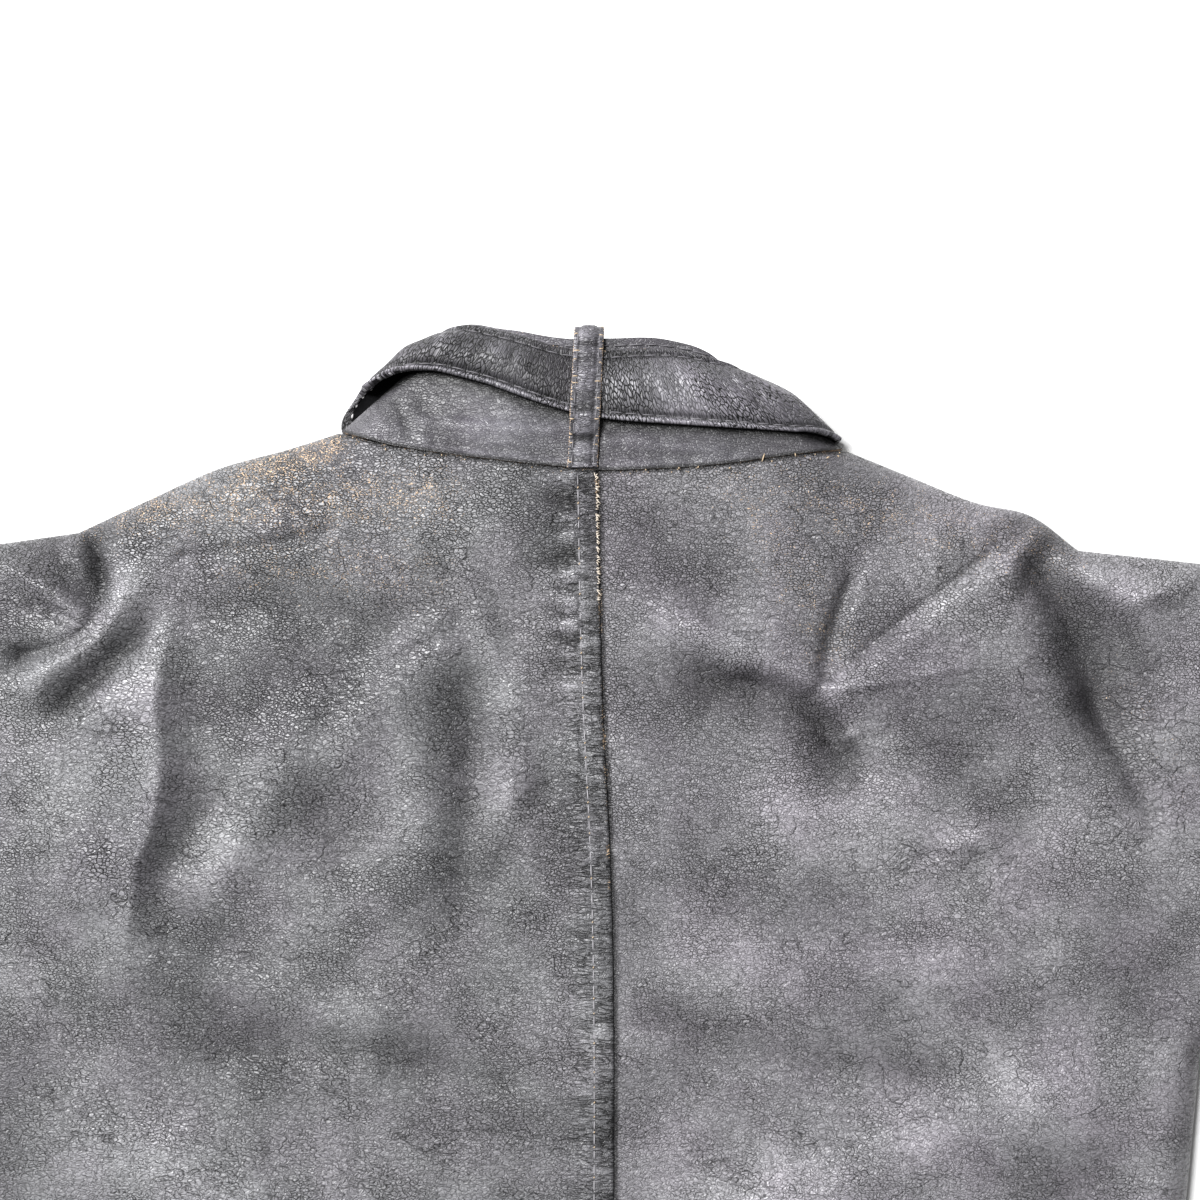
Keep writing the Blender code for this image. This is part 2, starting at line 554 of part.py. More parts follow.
def main():
    for leftover in list(bpy.data.objects):
        bpy.data.objects.remove(leftover, do_unlink=True)
    leather = new_material("worn charcoal leather", (0.085, 0.083, 0.088), 0.5)
    tape = new_material("zip tape", (0.02, 0.02, 0.021), 0.9)
    metal = new_material("zip metal", (0.42, 0.40, 0.36), 0.35, metallic=1.0)
    root = bpy.data.objects.new("jacket", None)
    root.location = (0.0, NECK_Y, 0.0)
    bpy.context.scene.collection.objects.link(root)
    add_back(leather, root)
    add_fronts(leather, root)
    for side in ("left", "right"):
        add_sleeve(side, leather, root)
    add_collar(leather, root)
    add_zip(tape, metal, root)


main()
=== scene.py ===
"""Looks of a worn leather cafe racer jacket that lies face down, seen from straight above its collar.

Plan sizes are millimetres from the centre back neck point, +Y to the collar; one function makes them metres.
Each leather panel is a thin shell on its solid's form, with finer folds, seams, sewing and wear.
"""

from collections import namedtuple
from functools import partial

import bpy
import numpy as np
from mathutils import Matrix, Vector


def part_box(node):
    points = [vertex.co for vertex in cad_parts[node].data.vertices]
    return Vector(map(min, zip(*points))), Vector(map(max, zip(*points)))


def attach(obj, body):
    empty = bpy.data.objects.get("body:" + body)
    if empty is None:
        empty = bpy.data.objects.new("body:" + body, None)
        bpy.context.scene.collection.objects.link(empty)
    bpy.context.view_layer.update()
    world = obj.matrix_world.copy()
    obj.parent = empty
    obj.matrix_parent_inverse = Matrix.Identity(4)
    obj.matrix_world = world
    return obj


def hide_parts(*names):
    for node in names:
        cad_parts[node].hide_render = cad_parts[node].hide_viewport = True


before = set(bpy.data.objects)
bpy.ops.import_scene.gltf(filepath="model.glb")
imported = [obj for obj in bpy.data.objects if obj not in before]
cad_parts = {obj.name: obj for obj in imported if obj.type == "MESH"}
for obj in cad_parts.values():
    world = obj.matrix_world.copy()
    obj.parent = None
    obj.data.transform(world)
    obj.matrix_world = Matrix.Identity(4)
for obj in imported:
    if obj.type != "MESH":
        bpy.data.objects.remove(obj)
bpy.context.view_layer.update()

# Columns of the tables below
Point = namedtuple("Point", "x y")
Fold = namedtuple("Fold", "x0 y0 x1 y1 rise reach lean bend power", defaults=(0.0, 0.0, 2.0))
Rub = namedtuple("Rub", "x0 y0 x1 y1 amount reach")
Strap = namedtuple("Strap", "turn low high off")
Keeper = namedtuple("Keeper", "rise off")
Groove = namedtuple("Groove", "depth reach")
Ripple = namedtuple("Ripple", "amount spacing seed")
Gather = namedtuple("Gather", "amount spacing tallness seed")
Shine = namedtuple("Shine", "amount middle reach")
Light = namedtuple("Light", "name place width power")
Cut = namedtuple("Cut", "width length area")
Hide = namedtuple("Hide", "grain crack web stretch dark light grain_depth crack_depth tilt")
Spread = namedtuple("Spread", "low high to_low to_high", defaults=(0.0, 1.0))
Patches = namedtuple("Patches", "size detail spread")
Bend = namedtuple("Bend", "size amount")
SewnStrap = namedtuple("SewnStrap", "face normal tall hem hem_normal")

# Driving sizes, in millimetres, the same as the solids have
MM = 0.001
LEATHER = 1.4
COLLAR_LEATHER = 1.6
SEAM_GAP = 0.3
EDGE_GAP = 0.7
NECK_GAP = 0.25
BACK_LENGTH = 600.0
COLLAR_RISE = 61.4
NECK_Y = (BACK_LENGTH - COLLAR_RISE) / 2
SEAM_HEIGHT = 4.5
UPPER_ROLL = 16.0
LOWER_ROLL = 9.0
LOFT = 13.0
NECK_LOFT = 6.5
NECK_LOFT_REACH = Point(130.0, 80.0)
HEM_SLACK = 3.5
LAP_WIDTH = 8.5
LAP_SPARE = 1.5
LAP_RAMP = 7.0
LAP_GAP = 0.15
FRONT_CENTRE = 5.0
FRONT_NECK_DEPTH = 76.0
ZIP_OPENING = 4.5
KEEPER_WIDTH = 12.8
SIDES = ("left", "right")
UPRIGHT = np.array((0.0, 0.0, 1.0))

# Finer sizes that only this script makes
STITCH_PITCH = 6.4        # centre back seam
STRAP_PITCH = 7.0         # collar, strap and keeper
HEM_PITCH = 6.0
KEEPER_PITCH = STRAP_PITCH * 0.95
THREAD = 0.55
SEAM_STITCH_IN = 8.2      # centre back stitches in from the lapped edge
EDGE_STITCH_IN = 3.2      # collar and strap stitches in from their edges
KEEPER_STITCH_IN = 2.6
HEM_STITCH_IN = 28.0
CUFF_STITCH_IN = 24.0
STRAP_PUFF = 3.4
EDGE_ROLL = 1.5
PUCKER_PITCH = 12.5
PUCKER_START = 0.4        # of the pitch, to the first pucker
PUCKER_SHIFT = 0.3        # of the pitch, either way
PUCKER_HEIGHTS = (1.0, 4.2)
PUCKER_MEAN = 1.4         # height that the puckers swing about
PUCKER_SLANT = 0.25
PUCKER_REACHES = (2.6, 4.4)
PUCKER_ONSET = 0.5
PUCKER_LENGTH = 12.0
PUCKER_LIMIT = 0.01
PUCKER_REST = 0.2         # strength that is left below the upper part of the seam
PUCKERED_DOWN_TO = -105.0
PUCKER_FADE = 50.0
LAP_EDGE_DROP = 0.7
LAP_EDGE_ROUND = 1.6
LAP_RIBS = Ripple(0.5, 2.6, 10)
LAP_RIB_LENGTH = 6.0      # beside the spacing of the ribs
CHIPPED_EDGE = 2.5
CHIP_SPACING = 3.2
NECK_SEAM_WEAR = 0.5
NECK_SEAM_WORN = 3.0
NECK_HALF = 110.0
GATHERED_TO = 22.0        # distance from the lapped edge at which the leather is no longer drawn up
GATHER_FADE = 10.0
HEM_TURNS = (-30.0, 4.0)  # degrees of the strap's left end, where its inner hem shows
HEM_MIDDLE = -12.0
HEM_REACH = 24.0
HEM_STITCH_PITCH = 4.9
FRAYED_BITS = 95          # pale bits along the upper part of the lapped edge
HEM_COLUMN = 10           # column of the strap's inner face that its hem stitches follow
TOOTH_PITCH = 1.1         # of both rows of zip teeth together
TOOTH_LENGTH = 1.2
TOOTH_OVERLAP = 0.6       # of a tooth past the middle of the zip
TOOTH_ROOT = 0.72         # length of a tooth's root beside its tip
TOOTH_BEVEL = 0.12
TOOTH_FACES = ((0, 1, 3, 2), (4, 6, 7, 5), (0, 4, 5, 1), (2, 3, 7, 6), (0, 2, 6, 4), (1, 5, 7, 3))
SLIDER_SIDES = 24
SLIDER_ROWS = 28
SLIDER_SQUARENESS = 0.5   # power of a section's sine and cosine: 1 is an ellipse, 0 a square
SLIDER_TAIL = 0.66        # width of the slider's tail beside that of its mouth
SLIDER_END = 1.4
SLIDER_DRAWN_IN = 0.6     # size at the ends beside the middle
SLIDER_WIDENS = (0.2, 0.7)  # of its length, from the tail
PULL_STEPS = 36
PULL_REACH = Point(1.5, 3.8)
PULL_BAR = 0.9
PULL_THICKNESS = 0.6

# Slack of the upper layer: uneven ripples, fewer by the neck seam and over a taut place of the right back
SLACK = 1.5
SLACK_RIPPLES = (Ripple(0.8, 31.0, 3), Ripple(0.25, 13.0, 4), Ripple(0.08, 5.5, 5))
TAUT_BELOW_NECK = 12.0
TAUTNESS = 0.9
TAUT_MIDDLE = Point(80.0, -130.0)
TAUT_REACH = Point(70.0, 50.0)

# Dips along sewn lines
NECK_SEAM = Groove(0.7, 1.3)
LAP_SEWING = Groove(0.35, 0.8)
LAP_PRESS = Groove(0.3, 4.0)
HEM_SEWING = Groove(0.6, 1.4)
CUFF_SEWING = Groove(0.5, 1.6)
STAND_SEWING = Groove(0.5, 0.9)
STRAP_SEWING = Groove(1.3, 1.0)
KEEPER_SEWING = Groove(0.45, 0.7)

# Relief that only the dye and the gloss follow, in millimetres: painted highlights and painted shade, the
# deepest painted shade along seams and under the strap
SEAM_SHADE = Groove(20.0, 0.9)
LAP_SHADE = Groove(20.0, 1.3)
STITCH_SHINE = Groove(3.0, 1.8)
PUCKER_SHADE = 8.0
STAND_RIDGE_SHADE = 4.0
STRAP_SHADOW = (Groove(5.0, 7.0), Groove(22.5, 2.2))
STRAP_SHADOW_TOP = 0.3    # of the stand's height, over the strap's lower edge
SEAM_ROLL_SHINE = Groove(5.0, 1.2)
SEAM_ROLL_IN = 2.4
STRAP_GATHER_SHADE = 10.0
STRAP_ROLL_SHINE = Groove(12.0, 1.1)
STRAP_ROLL_IN = 1.1
STRAP_STITCH_SHADE = Groove(9.0, 1.3)
STRAP_STITCH_SHADE_IN = EDGE_STITCH_IN + 0.3
STRAP_RIGHT_SHINE = Shine(4.0, 46.0, 24.0)
STRAP_LEFT_SHINE = Shine(5.0, -62.0, 20.0)
STRAP_LEFT_SHADE = 6.0
STRAP_LEFT_OF = -6.0
STRAP_LEFT_FADE = 30.0
STRAP_RIB_SHADE = 9.0
STRAP_INNER_SHADE = 2.0
BESIDE_KEEPER_SHADE = Groove(11.0, 24.0)
KEEPER_PUCKER_SHADES = (14.0, 5.0)    # at its foot and at its top
KEEPER_SHADES = (-2.0, 1.0)

# Collar: lips, ripples, gathers and worn edges
STAND_LIP = Groove(0.35, 2.2)
STAND_RIPPLES = (Ripple(0.5, 14.0, 21), Ripple(0.25, 6.0, 22))
STAND_RIPPLE_DEPTH = 0.6  # along Y, beside the spacing
STAND_EDGE_WEAR = 0.35
STAND_EDGE_WORN = 1.5
STRAP_TURN_UNDER = 4.0    # how soon the stand-off turns from the normal into the plan
STRAP_GATHERS = (Gather(0.5, 3.4, 4.0, 31), Gather(0.7, 11.0, 2.0, 32))
STRAP_EDGE_ROUND = 1.5
STRAP_FULLNESS = 0.8      # power of the puff's sine
STRAP_PUFF_AT_FOLD = 0.6
STRAP_PUFF_GAIN = 2.0     # from the side folds to the back
STRAP_PINCH = Groove(0.95, 13.0)
STRAP_RIB_SPACING = 1.5
STRAP_HEM_FULLNESS = 0.6
STRAP_HEM_RISE = 1.1
STRAP_RIB_RISE = 0.7
STRAP_PATTERN_SHIFT = 20.0  # of the leather pattern from the outer face to the inner one
STRAP_EDGE_WEAR = 0.75
STRAP_EDGE_WORN = 0.8
STRAP_CREASED = Shine(0.5, 52.0, 20.0)
STRAP_LEAST_CREASED = 0.15
KEEPER_UNEVEN = Ripple(0.02, 5.0, 41)
KEEPER_GATHER = Gather(0.55, 3.2, 4.0, 42)
KEEPER_GATHER_IN = 2.0
KEEPER_LIP = Groove(0.3, 1.3)
KEEPER_EDGE_DROP = 0.35
KEEPER_EDGE_ROUND = 0.5
KEEPER_ARCH = 0.9
KEEPER_UNDER_STEP = 4     # columns of the upper face to one of the underside
KEEPER_EDGE_WEAR = 1.3
KEEPER_EDGE_WORN = 0.5

# Sewing
THREAD_SIDES = 6
THREAD_ROWS = 6
THREAD_ARCH = 0.75        # of its thickness, as the next one
THREAD_SUNK = 0.35
THREAD_END = 0.55         # thickness at the ends beside the middle
STITCH_START = 0.1        # of the pitch
STITCH_JITTER = 0.25
STITCH_LIFT = 0.05
COLLAR_STITCH_LIFT = 0.1
SEAM_STITCHES_FROM = -2.0
SEAM_STITCHES_TO = 3.0 - BACK_LENGTH
HEM_STITCHES_FROM = 4.0   # either way from the front centre
HEM_STITCHES_TO = 236.0
CLEAR_OF_LAP = 2.0
SEAM_STITCH_SHARE = 0.86  # length of a stitch beside the pitch, as the next ones
HEM_STITCH_SHARE = 0.8
COLLAR_STITCH_SHARE = 0.82
STRAP_HEM_STITCH_SHARE = 0.5
STRAP_HEM_THREAD = 0.9
NEEDLE_HOLE = 0.6
NEEDLE_HOLE_HALF = (0.25, 0.45, 0.0)
NEEDLE_HOLES_SHOWN = 0.75
FRAYED_FROM = -1.5
FRAYED_STEP = 0.62
FRAYED_IN = (0.3, 1.3)    # starts of the bits, in from the lapped edge
FRAYED_OUT = (0.5, 1.8)
FRAYED_ALONG = (-1.8, 0.8)
FRAYED_DOWN = -0.4
FRAYED_SUNK = 0.1
FRAYED_BED = 1.0          # in from the edge, where their height is taken
FRAYED_TOP_IN = 0.8       # of the first bit, a longer one
FRAYED_TOP = (0.9, -2.6, 0.0)
FRAYED_THICKNESS = 0.42
NECK_THREADS = 26
NECK_THREADS_ALONG = (-98.0, 112.0)
NECK_THREADS_BELOW = (0.4, 2.8)
NECK_THREADS_CLEAR = (-6.0, 10.0)    # where the keeper covers the seam
NECK_THREAD_LIFT = 0.3
NECK_THREAD_TURN = 2.6    # radians
NECK_THREAD_LEAST = 0.45
NECK_THREAD_MORE = 0.6    # mean of what comes on top of the least length
NECK_THREAD_ACROSS = 0.5
NECK_THREAD_THICKNESS = 0.6
KEEPER_BAR = 0.55
KEEPER_BAR_REACHES = (0.45, 1.1)
KEEPER_BAR_LIFTS = (0.05, 0.15)
# Rows and columns of the keeper's grid: the sewn rows, the column of the stitches, the first and last bar
# with their step and shift, and the columns that the bars run between
KEEPER_SEWN_ROWS = 88
KEEPER_STITCH_COLUMN = 5
KEEPER_BAR_ROWS = (6, 82, 8)
KEEPER_BAR_SHIFT = 3
KEEPER_BAR_COLUMNS = (1, 7)

# Grid spacing, in millimetres
BACK_SPACING = 1.8
ARMHOLE_SPACING = 1.6
LOWER_SPACING = 3.0
SLEEVE_SPACING = 4.5
HIDDEN_SPACING = 5.0
ROLL_STEPS = (0.0, 0.1, 0.4, 1.0, 2.0, 3.3, 5.0, 7.0, 9.5, 12.5, 16.0)
LAP_STEPS = (0.0, 0.4, 1.0, 2.0, 3.2, 4.5, 6.0, 7.2, 8.2, 9.2, 10.5, 12.0, 14.0, 16.0, 18.0)
NEAR_SLEEVE_STEPS = tuple(np.arange(0.0, 60.0, 1.8))
PLAIN_EDGE = (0.0,)
HEM_STEPS = (0.0, 0.5, 1.2)
ZIP_EDGE_STEPS = (0.0, 2.0, 5.0)
CUFF_STEPS = (0.0, 0.6, 1.6)
CURVE_POINTS = 400
COLLAR_STOPS = (-90.0, -34.0, 8.0, 172.0, 270.0)
COLLAR_STEPS = (50, 60, 300, 50)
STAND_ROWS = 34
KEEPER_ROWS = 110
# Sections: places up the strap's two faces and across the keeper, closest at their edges
STRAP_OUTER = np.concatenate(
    ([0.0, 0.004, 0.015, 0.035], np.linspace(0.06, 0.94, 30), [0.965, 0.985, 0.996, 1.0])
)
STRAP_INNER = np.concatenate((np.linspace(0.96, 0.2, 9), (0.16, 0.13, 0.10, 0.07, 0.04, 0.02)))
KEEPER_ACROSS = np.concatenate(([-1.0, -0.99, -0.95], np.linspace(-0.88, 0.88, 23), [0.95, 0.99, 1.0]))

# Distances to the outlines, the lattice of random values, and the ends of folds
ROUGH_STEP = 20           # one point in so many makes the rough copy of an outline
ROUGH_SLACK = 12.0
LATTICE = 64
END_FADE = 1.6            # fade of a fold past its ends, beside its reach

# Seeds of the random draws
SEEDS = {
    "puckers": 8, "chips": 12, "strap ribs": 33, "centre stitches": 51, "hem stitches": 52,
    "needle holes": 53, "frayed bits": 54, "neck threads": 61, "stand stitches": 71, "lower stitches": 72,
    "upper stitches": 73, "keeper stitches": 74, "strap hem stitches": 75, "keeper bars": 76,
}

# Plan outlines
BACK_NECK = (
    Point(-103.7, 15.8), Point(-78.0, 9.4), Point(-50.8, 5.5), Point(-4.7, 0.4), Point(10.2, -0.9),
    Point(31.6, -0.4), Point(57.6, 1.3), Point(94.3, 6.0), Point(116.0, 8.1),
)
FRONT_NECK = (
    Point(-103.7, 15.8), Point(-90.5, -10.0), Point(-72.5, -40.0), Point(-43.0, -65.0),
    Point(FRONT_CENTRE, -FRONT_NECK_DEPTH),
    Point(54.0, -66.0), Point(85.0, -42.0), Point(103.0, -14.0), Point(116.0, 8.1),
)
SHOULDER = {
    "left": (Point(-103.7, 15.8), Point(-123.7, 9.4), Point(-154.4, 0.9), Point(-185.1, -12.8),
             Point(-215.4, -26.9)),
    "right": (Point(116.0, 8.1), Point(142.5, -2.6), Point(173.2, -14.5), Point(193.7, -19.0),
              Point(215.4, -34.6)),
}
ARMHOLE = {
    "left": (Point(-264.0, -246.0), Point(-242.0, -200.0), Point(-225.0, -155.0), Point(-213.0, -115.0),
             Point(-204.5, -80.0), Point(-201.5, -55.9), Point(-205.0, -38.8), Point(-215.4, -26.9)),
    "right": (Point(268.0, -250.0), Point(249.0, -195.0), Point(236.5, -145.0), Point(226.0, -107.0),
              Point(214.1, -74.5), Point(207.5, -60.0), Point(206.5, -46.0), Point(215.4, -34.6)),
}
SIDE = {
    "left": (Point(-245.0, -600.0), Point(-244.0, -500.0), Point(-252.0, -380.0), Point(-260.0, -290.0),
             Point(-264.0, -246.0)),
    "right": (Point(245.0, -600.0), Point(245.0, -500.0), Point(255.0, -380.0), Point(264.0, -294.0),
              Point(268.0, -250.0)),
}
SLEEVE_TOP = {
    "left": (Point(-215.4, -26.9), Point(-236.3, -29.9), Point(-300.0, -38.5), Point(-450.0, -62.5),
             Point(-600.0, -101.0), Point(-795.0, -169.0)),
    "right": (Point(215.4, -34.6), Point(255.1, -38.8), Point(300.0, -44.0), Point(450.0, -68.0),
              Point(600.0, -106.5), Point(795.0, -174.5)),
}
SLEEVE_UNDER = {
    "left": (Point(-264.0, -246.0), Point(-340.0, -247.0), Point(-460.0, -247.5), Point(-600.0, -262.0),
             Point(-758.0, -289.0)),
    "right": (Point(268.0, -250.0), Point(340.0, -251.5), Point(460.0, -252.5), Point(600.0, -267.0),
              Point(758.0, -294.5)),
}
CENTRE_BACK = (
    Point(12.0, -600.0), Point(15.0, -350.0), Point(13.7, -167.7), Point(10.2, -94.3), Point(8.1, -0.8),
)

# Main folds of the upper layer, along the lines of the solids' folds
BODY_FOLDS = (
    Fold(-208.0, -33.0, -236.0, -79.0, -6.5, 7.0, 0.0, 17.0),
    Fold(-195.0, -57.0, -225.0, -83.0, 7.8, 9.0),
    Fold(-191.0, -75.0, -216.0, -98.0, -8.5, 7.0),
    Fold(-180.0, -102.0, -188.0, -168.0, 9.4, 22.0, -0.60, 6.0, 1.3),
    Fold(-166.0, -94.0, -162.0, -150.0, -1.0, 11.0),
    Fold(-150.0, -170.0, -124.0, -122.0, 4.5, 14.0),
    Fold(-104.0, -122.0, -62.0, -80.0, 2.6, 12.0, 0.0, 4.0),
    Fold(-70.0, -112.0, -66.0, -168.0, 2.6, 12.0),
    Fold(-47.0, -98.0, -50.0, -170.0, -2.4, 9.0, 0.0, 3.0),
    Fold(-27.0, -100.0, -26.0, -150.0, 2.8, 11.0),
    Fold(-15.0, -137.0, -34.0, -172.0, -2.0, 7.0),
    Fold(101.5, -94.3, 172.0, -39.0, -1.2, 5.0),
    Fold(118.0, -90.0, 176.0, -46.0, 2.6, 9.0),
    Fold(106.0, -86.0, 116.0, -49.0, -3.2, 6.0),
    Fold(111.0, -93.0, 148.0, -88.0, 3.2, 12.0),
    Fold(46.9, -68.3, 96.0, -90.0, 5.2, 11.0),
    Fold(62.0, -92.0, 111.0, -122.0, -7.0, 11.0, -0.40, 10.0),
    Fold(101.5, -98.0, 113.9, -117.3, -4.0, 7.0),
    Fold(212.0, -41.0, 236.0, -55.0, 5.9, 9.0),
    Fold(203.0, -48.0, 222.0, -96.0, -8.5, 15.0, 0.25, 2.0),
    Fold(190.0, -25.0, 166.0, -41.0, -1.3, 7.0),
    Fold(-190.0, -290.0, -60.0, -370.0, 5.0, 22.0),
    Fold(-200.0, -350.0, -70.0, -450.0, -4.0, 20.0),
    Fold(70.0, -330.0, 200.0, -270.0, 5.0, 22.0),
    Fold(60.0, -420.0, 210.0, -370.0, -4.0, 20.0),
    Fold(-100.0, -560.0, -130.0, -440.0, 3.0, 20.0),
    Fold(110.0, -570.0, 150.0, -460.0, 3.0, 20.0),
)
# Sleeve folds, drawn for the left sleeve and mirrored for the right
SLEEVE_FOLDS = (
    Fold(-295.0, -65.0, -370.0, -190.0, 5.0, 19.0),
    Fold(-345.0, -60.0, -395.0, -160.0, -4.5, 16.0),
    Fold(-460.0, -215.0, -550.0, -120.0, 5.5, 17.0),
    Fold(-495.0, -230.0, -585.0, -145.0, -5.0, 15.0),
    Fold(-545.0, -235.0, -645.0, -170.0, 5.0, 16.0),
    Fold(-690.0, -185.0, -715.0, -255.0, 3.0, 15.0),
)
# Finer folds and creases: lean makes a flank steeper, bend bows the line, a power near 1 gives a sharp crease
FINE_FOLDS = (
    Fold(-207.0, -33.0, -238.0, -79.0, -2.9, 2.4, 0.0, 17.5, 1.2),
    Fold(-224.5, -34.0, -212.5, -52.0, -2.9, 5.0),
    Fold(-238.0, -44.0, -214.0, -60.0, 3.4, 4.5),
    Fold(-232.0, -58.0, -216.0, -64.0, -1.8, 2.2, 0.0, 0.0, 1.3),
    Fold(-172.0, -162.0, -142.0, -132.0, -1.2, 11.0),
    Fold(-111.0, -38.8, -88.4, -58.7, 1.6, 6.0),
    Fold(-45.8, -47.4, -37.2, -78.5, 1.8, 6.0),
    Fold(-77.0, -75.7, -60.0, -64.4, 1.5, 4.0),
    Fold(-75.0, -79.0, -62.0, -74.0, -1.0, 1.6, 0.0, 0.0, 1.3),
    Fold(-175.0, -110.0, -142.5, -112.7, -0.8, 1.0, 0.0, 1.5, 1.2),
    Fold(-113.0, -128.0, -100.0, -162.0, -2.6, 11.0),
    Fold(-168.0, -36.5, -106.0, -26.5, -2.0, 1.5, 0.0, -1.5, 1.2),
    Fold(101.5, -94.3, 176.0, -36.5, -2.6, 1.3, 0.0, 1.0, 1.1),
    Fold(104.0, -87.0, 116.0, -48.6, -2.1, 2.2, -0.3, 2.0, 1.2),
    Fold(116.0, -66.0, 121.0, -48.0, 1.8, 3.0),
    Fold(102.0, -94.0, 166.0, -84.5, 1.7, 2.0, 0.4, -1.5, 1.2),
    Fold(53.0, -66.6, 99.0, -92.6, 1.8, 3.2, 0.4, 2.0, 1.4),
    Fold(114.0, -116.0, 117.0, -115.0, 2.1, 3.5),
    Fold(106.0, -120.0, 132.0, -113.0, -1.2, 1.2, 0.0, 1.0, 1.2),
    Fold(112.0, -120.0, 120.0, -124.0, -1.0, 1.2, 0.0, 0.0, 1.2),
    Fold(163.0, -161.0, 170.0, -158.0, 2.1, 6.0),
    Fold(146.0, -166.0, 186.0, -168.0, -1.3, 2.0, 0.0, 2.0, 1.3),
    Fold(205.6, -30.3, 192.8, -47.4, -1.7, 4.0),
    Fold(197.0, -26.0, 186.0, -40.0, 2.1, 4.0),
    Fold(176.0, -44.0, 186.0, -41.0, -1.0, 1.0, 0.0, 0.0, 1.2),
    Fold(180.0, -57.0, 194.0, -55.0, -0.9, 1.0, 0.0, -1.0, 1.2),
    Fold(238.0, -55.0, 256.0, -49.0, 3.1, 5.0),
    Fold(232.0, -60.0, 246.0, -84.0, -2.1, 5.0),
    Fold(222.0, -100.0, 244.0, -146.0, -2.3, 6.0),
    Fold(36.0, -30.0, 60.0, -62.0, -1.6, 9.0),
    Fold(20.0, -120.0, 40.0, -170.0, 1.8, 14.0),
    Fold(150.0, -110.0, 190.0, -150.0, -2.1, 10.0),
    Fold(60.0, -140.0, 120.0, -150.0, 2.1, 12.0),
    Fold(-150.0, -60.0, -90.0, -66.0, -1.6, 9.0, 0.0, 4.0),
    Fold(-60.0, -44.0, -30.0, -60.0, -1.3, 8.0),
    Fold(-150.0, -250.0, -40.0, -262.0, -2.2, 9.0, 0.3, 6.0),
    Fold(40.0, -240.0, 170.0, -262.0, -2.4, 9.0, 0.3, -6.0),
    Fold(-180.0, -212.0, -90.0, -236.0, 2.0, 10.0),
    Fold(80.0, -205.0, 190.0, -218.0, 2.0, 10.0),
    Fold(-170.0, -420.0, -60.0, -500.0, 2.2, 12.0, 0.0, 8.0),
    Fold(70.0, -480.0, 180.0, -430.0, -2.2, 12.0, 0.0, 8.0),
    Fold(-310.0, -100.0, -350.0, -205.0, -2.6, 8.0, 0.3, 4.0),
    Fold(-415.0, -90.0, -455.0, -190.0, 2.4, 9.0, 0.0, 5.0),
    Fold(-505.0, -110.0, -520.0, -225.0, -2.6, 8.0, 0.3, -6.0),
    Fold(-560.0, -130.0, -600.0, -215.0, 2.4, 8.0),
    Fold(-640.0, -140.0, -670.0, -240.0, -2.2, 9.0, 0.0, 4.0),
    Fold(310.0, -105.0, 350.0, -210.0, -2.6, 8.0, 0.3, -4.0),
    Fold(420.0, -95.0, 450.0, -195.0, 2.4, 9.0, 0.0, 5.0),
    Fold(512.0, -115.0, 520.0, -230.0, -2.6, 8.0, -0.3, 6.0),
    Fold(565.0, -135.0, 595.0, -220.0, 2.4, 8.0),
    Fold(648.0, -150.0, 670.0, -245.0, -2.2, 9.0, 0.0, -4.0),
)
# Rubbed places of the upper layer, where the tan of the hide shows through the dye
RUBS = (
    Rub(-142.0, -2.0, -104.0, 10.0, 1.0, 12.0),
    Rub(-190.0, -16.0, -62.0, -12.0, 0.8, 20.0),
    Rub(-212.0, -28.0, -190.0, -22.0, 0.62, 7.0),
    Rub(-140.0, -40.0, -70.0, -42.0, 0.6, 22.0),
    Rub(70.0, -8.0, 200.0, -34.0, 0.6, 22.0),
    Rub(78.0, -20.0, 106.0, -74.0, 0.6, 20.0),
    Rub(230.0, -90.0, 256.0, -130.0, 0.36, 16.0),
    Rub(7.9, -1.0, 9.2, -54.0, 1.0, 1.2),
    Rub(9.2, -54.0, 13.4, -180.0, 0.8, 1.0),
)
# Places with a web of deeper creases
CREASED = (
    Rub(236.0, -100.0, 250.0, -142.0, 1.0, 13.0),
    Rub(140.0, -164.0, 182.0, -170.0, 1.0, 12.0),
    Rub(106.0, -112.0, 124.0, -118.0, 0.8, 9.0),
    Rub(160.0, -36.0, 192.0, -54.0, 0.6, 12.0),
    Rub(26.0, -16.0, 40.0, -60.0, 0.3, 12.0),
    Rub(-232.0, -45.0, -214.0, -62.0, 0.8, 12.0),
    Rub(-214.0, -112.0, -198.0, -160.0, 0.6, 16.0),
    Rub(-22.0, -110.0, -10.0, -165.0, 0.5, 11.0),
    Rub(-86.0, 26.0, -66.0, 14.0, 0.4, 8.0),
    Rub(-560.0, -160.0, -490.0, -205.0, 0.8, 34.0),
    Rub(560.0, -165.0, 490.0, -210.0, 0.8, 34.0),
)
# Places with coarser pebbles
COARSE = (
    Rub(-196.0, -100.0, -205.0, -170.0, 1.0, 26.0),
    Rub(-140.0, -160.0, -60.0, -110.0, 0.8, 26.0),
    Rub(-30.0, -110.0, -30.0, -170.0, 0.8, 18.0),
    Rub(-95.0, -55.0, -40.0, -60.0, 0.6, 16.0),
    Rub(236.0, -95.0, 250.0, -150.0, 0.9, 16.0),
    Rub(100.0, -160.0, 190.0, -170.0, 0.5, 18.0),
    Rub(-230.0, -320.0, 230.0, -320.0, 0.6, 120.0),
    Rub(-420.0, -150.0, -700.0, -200.0, 0.7, 80.0),
    Rub(420.0, -155.0, 700.0, -205.0, 0.7, 80.0),
)

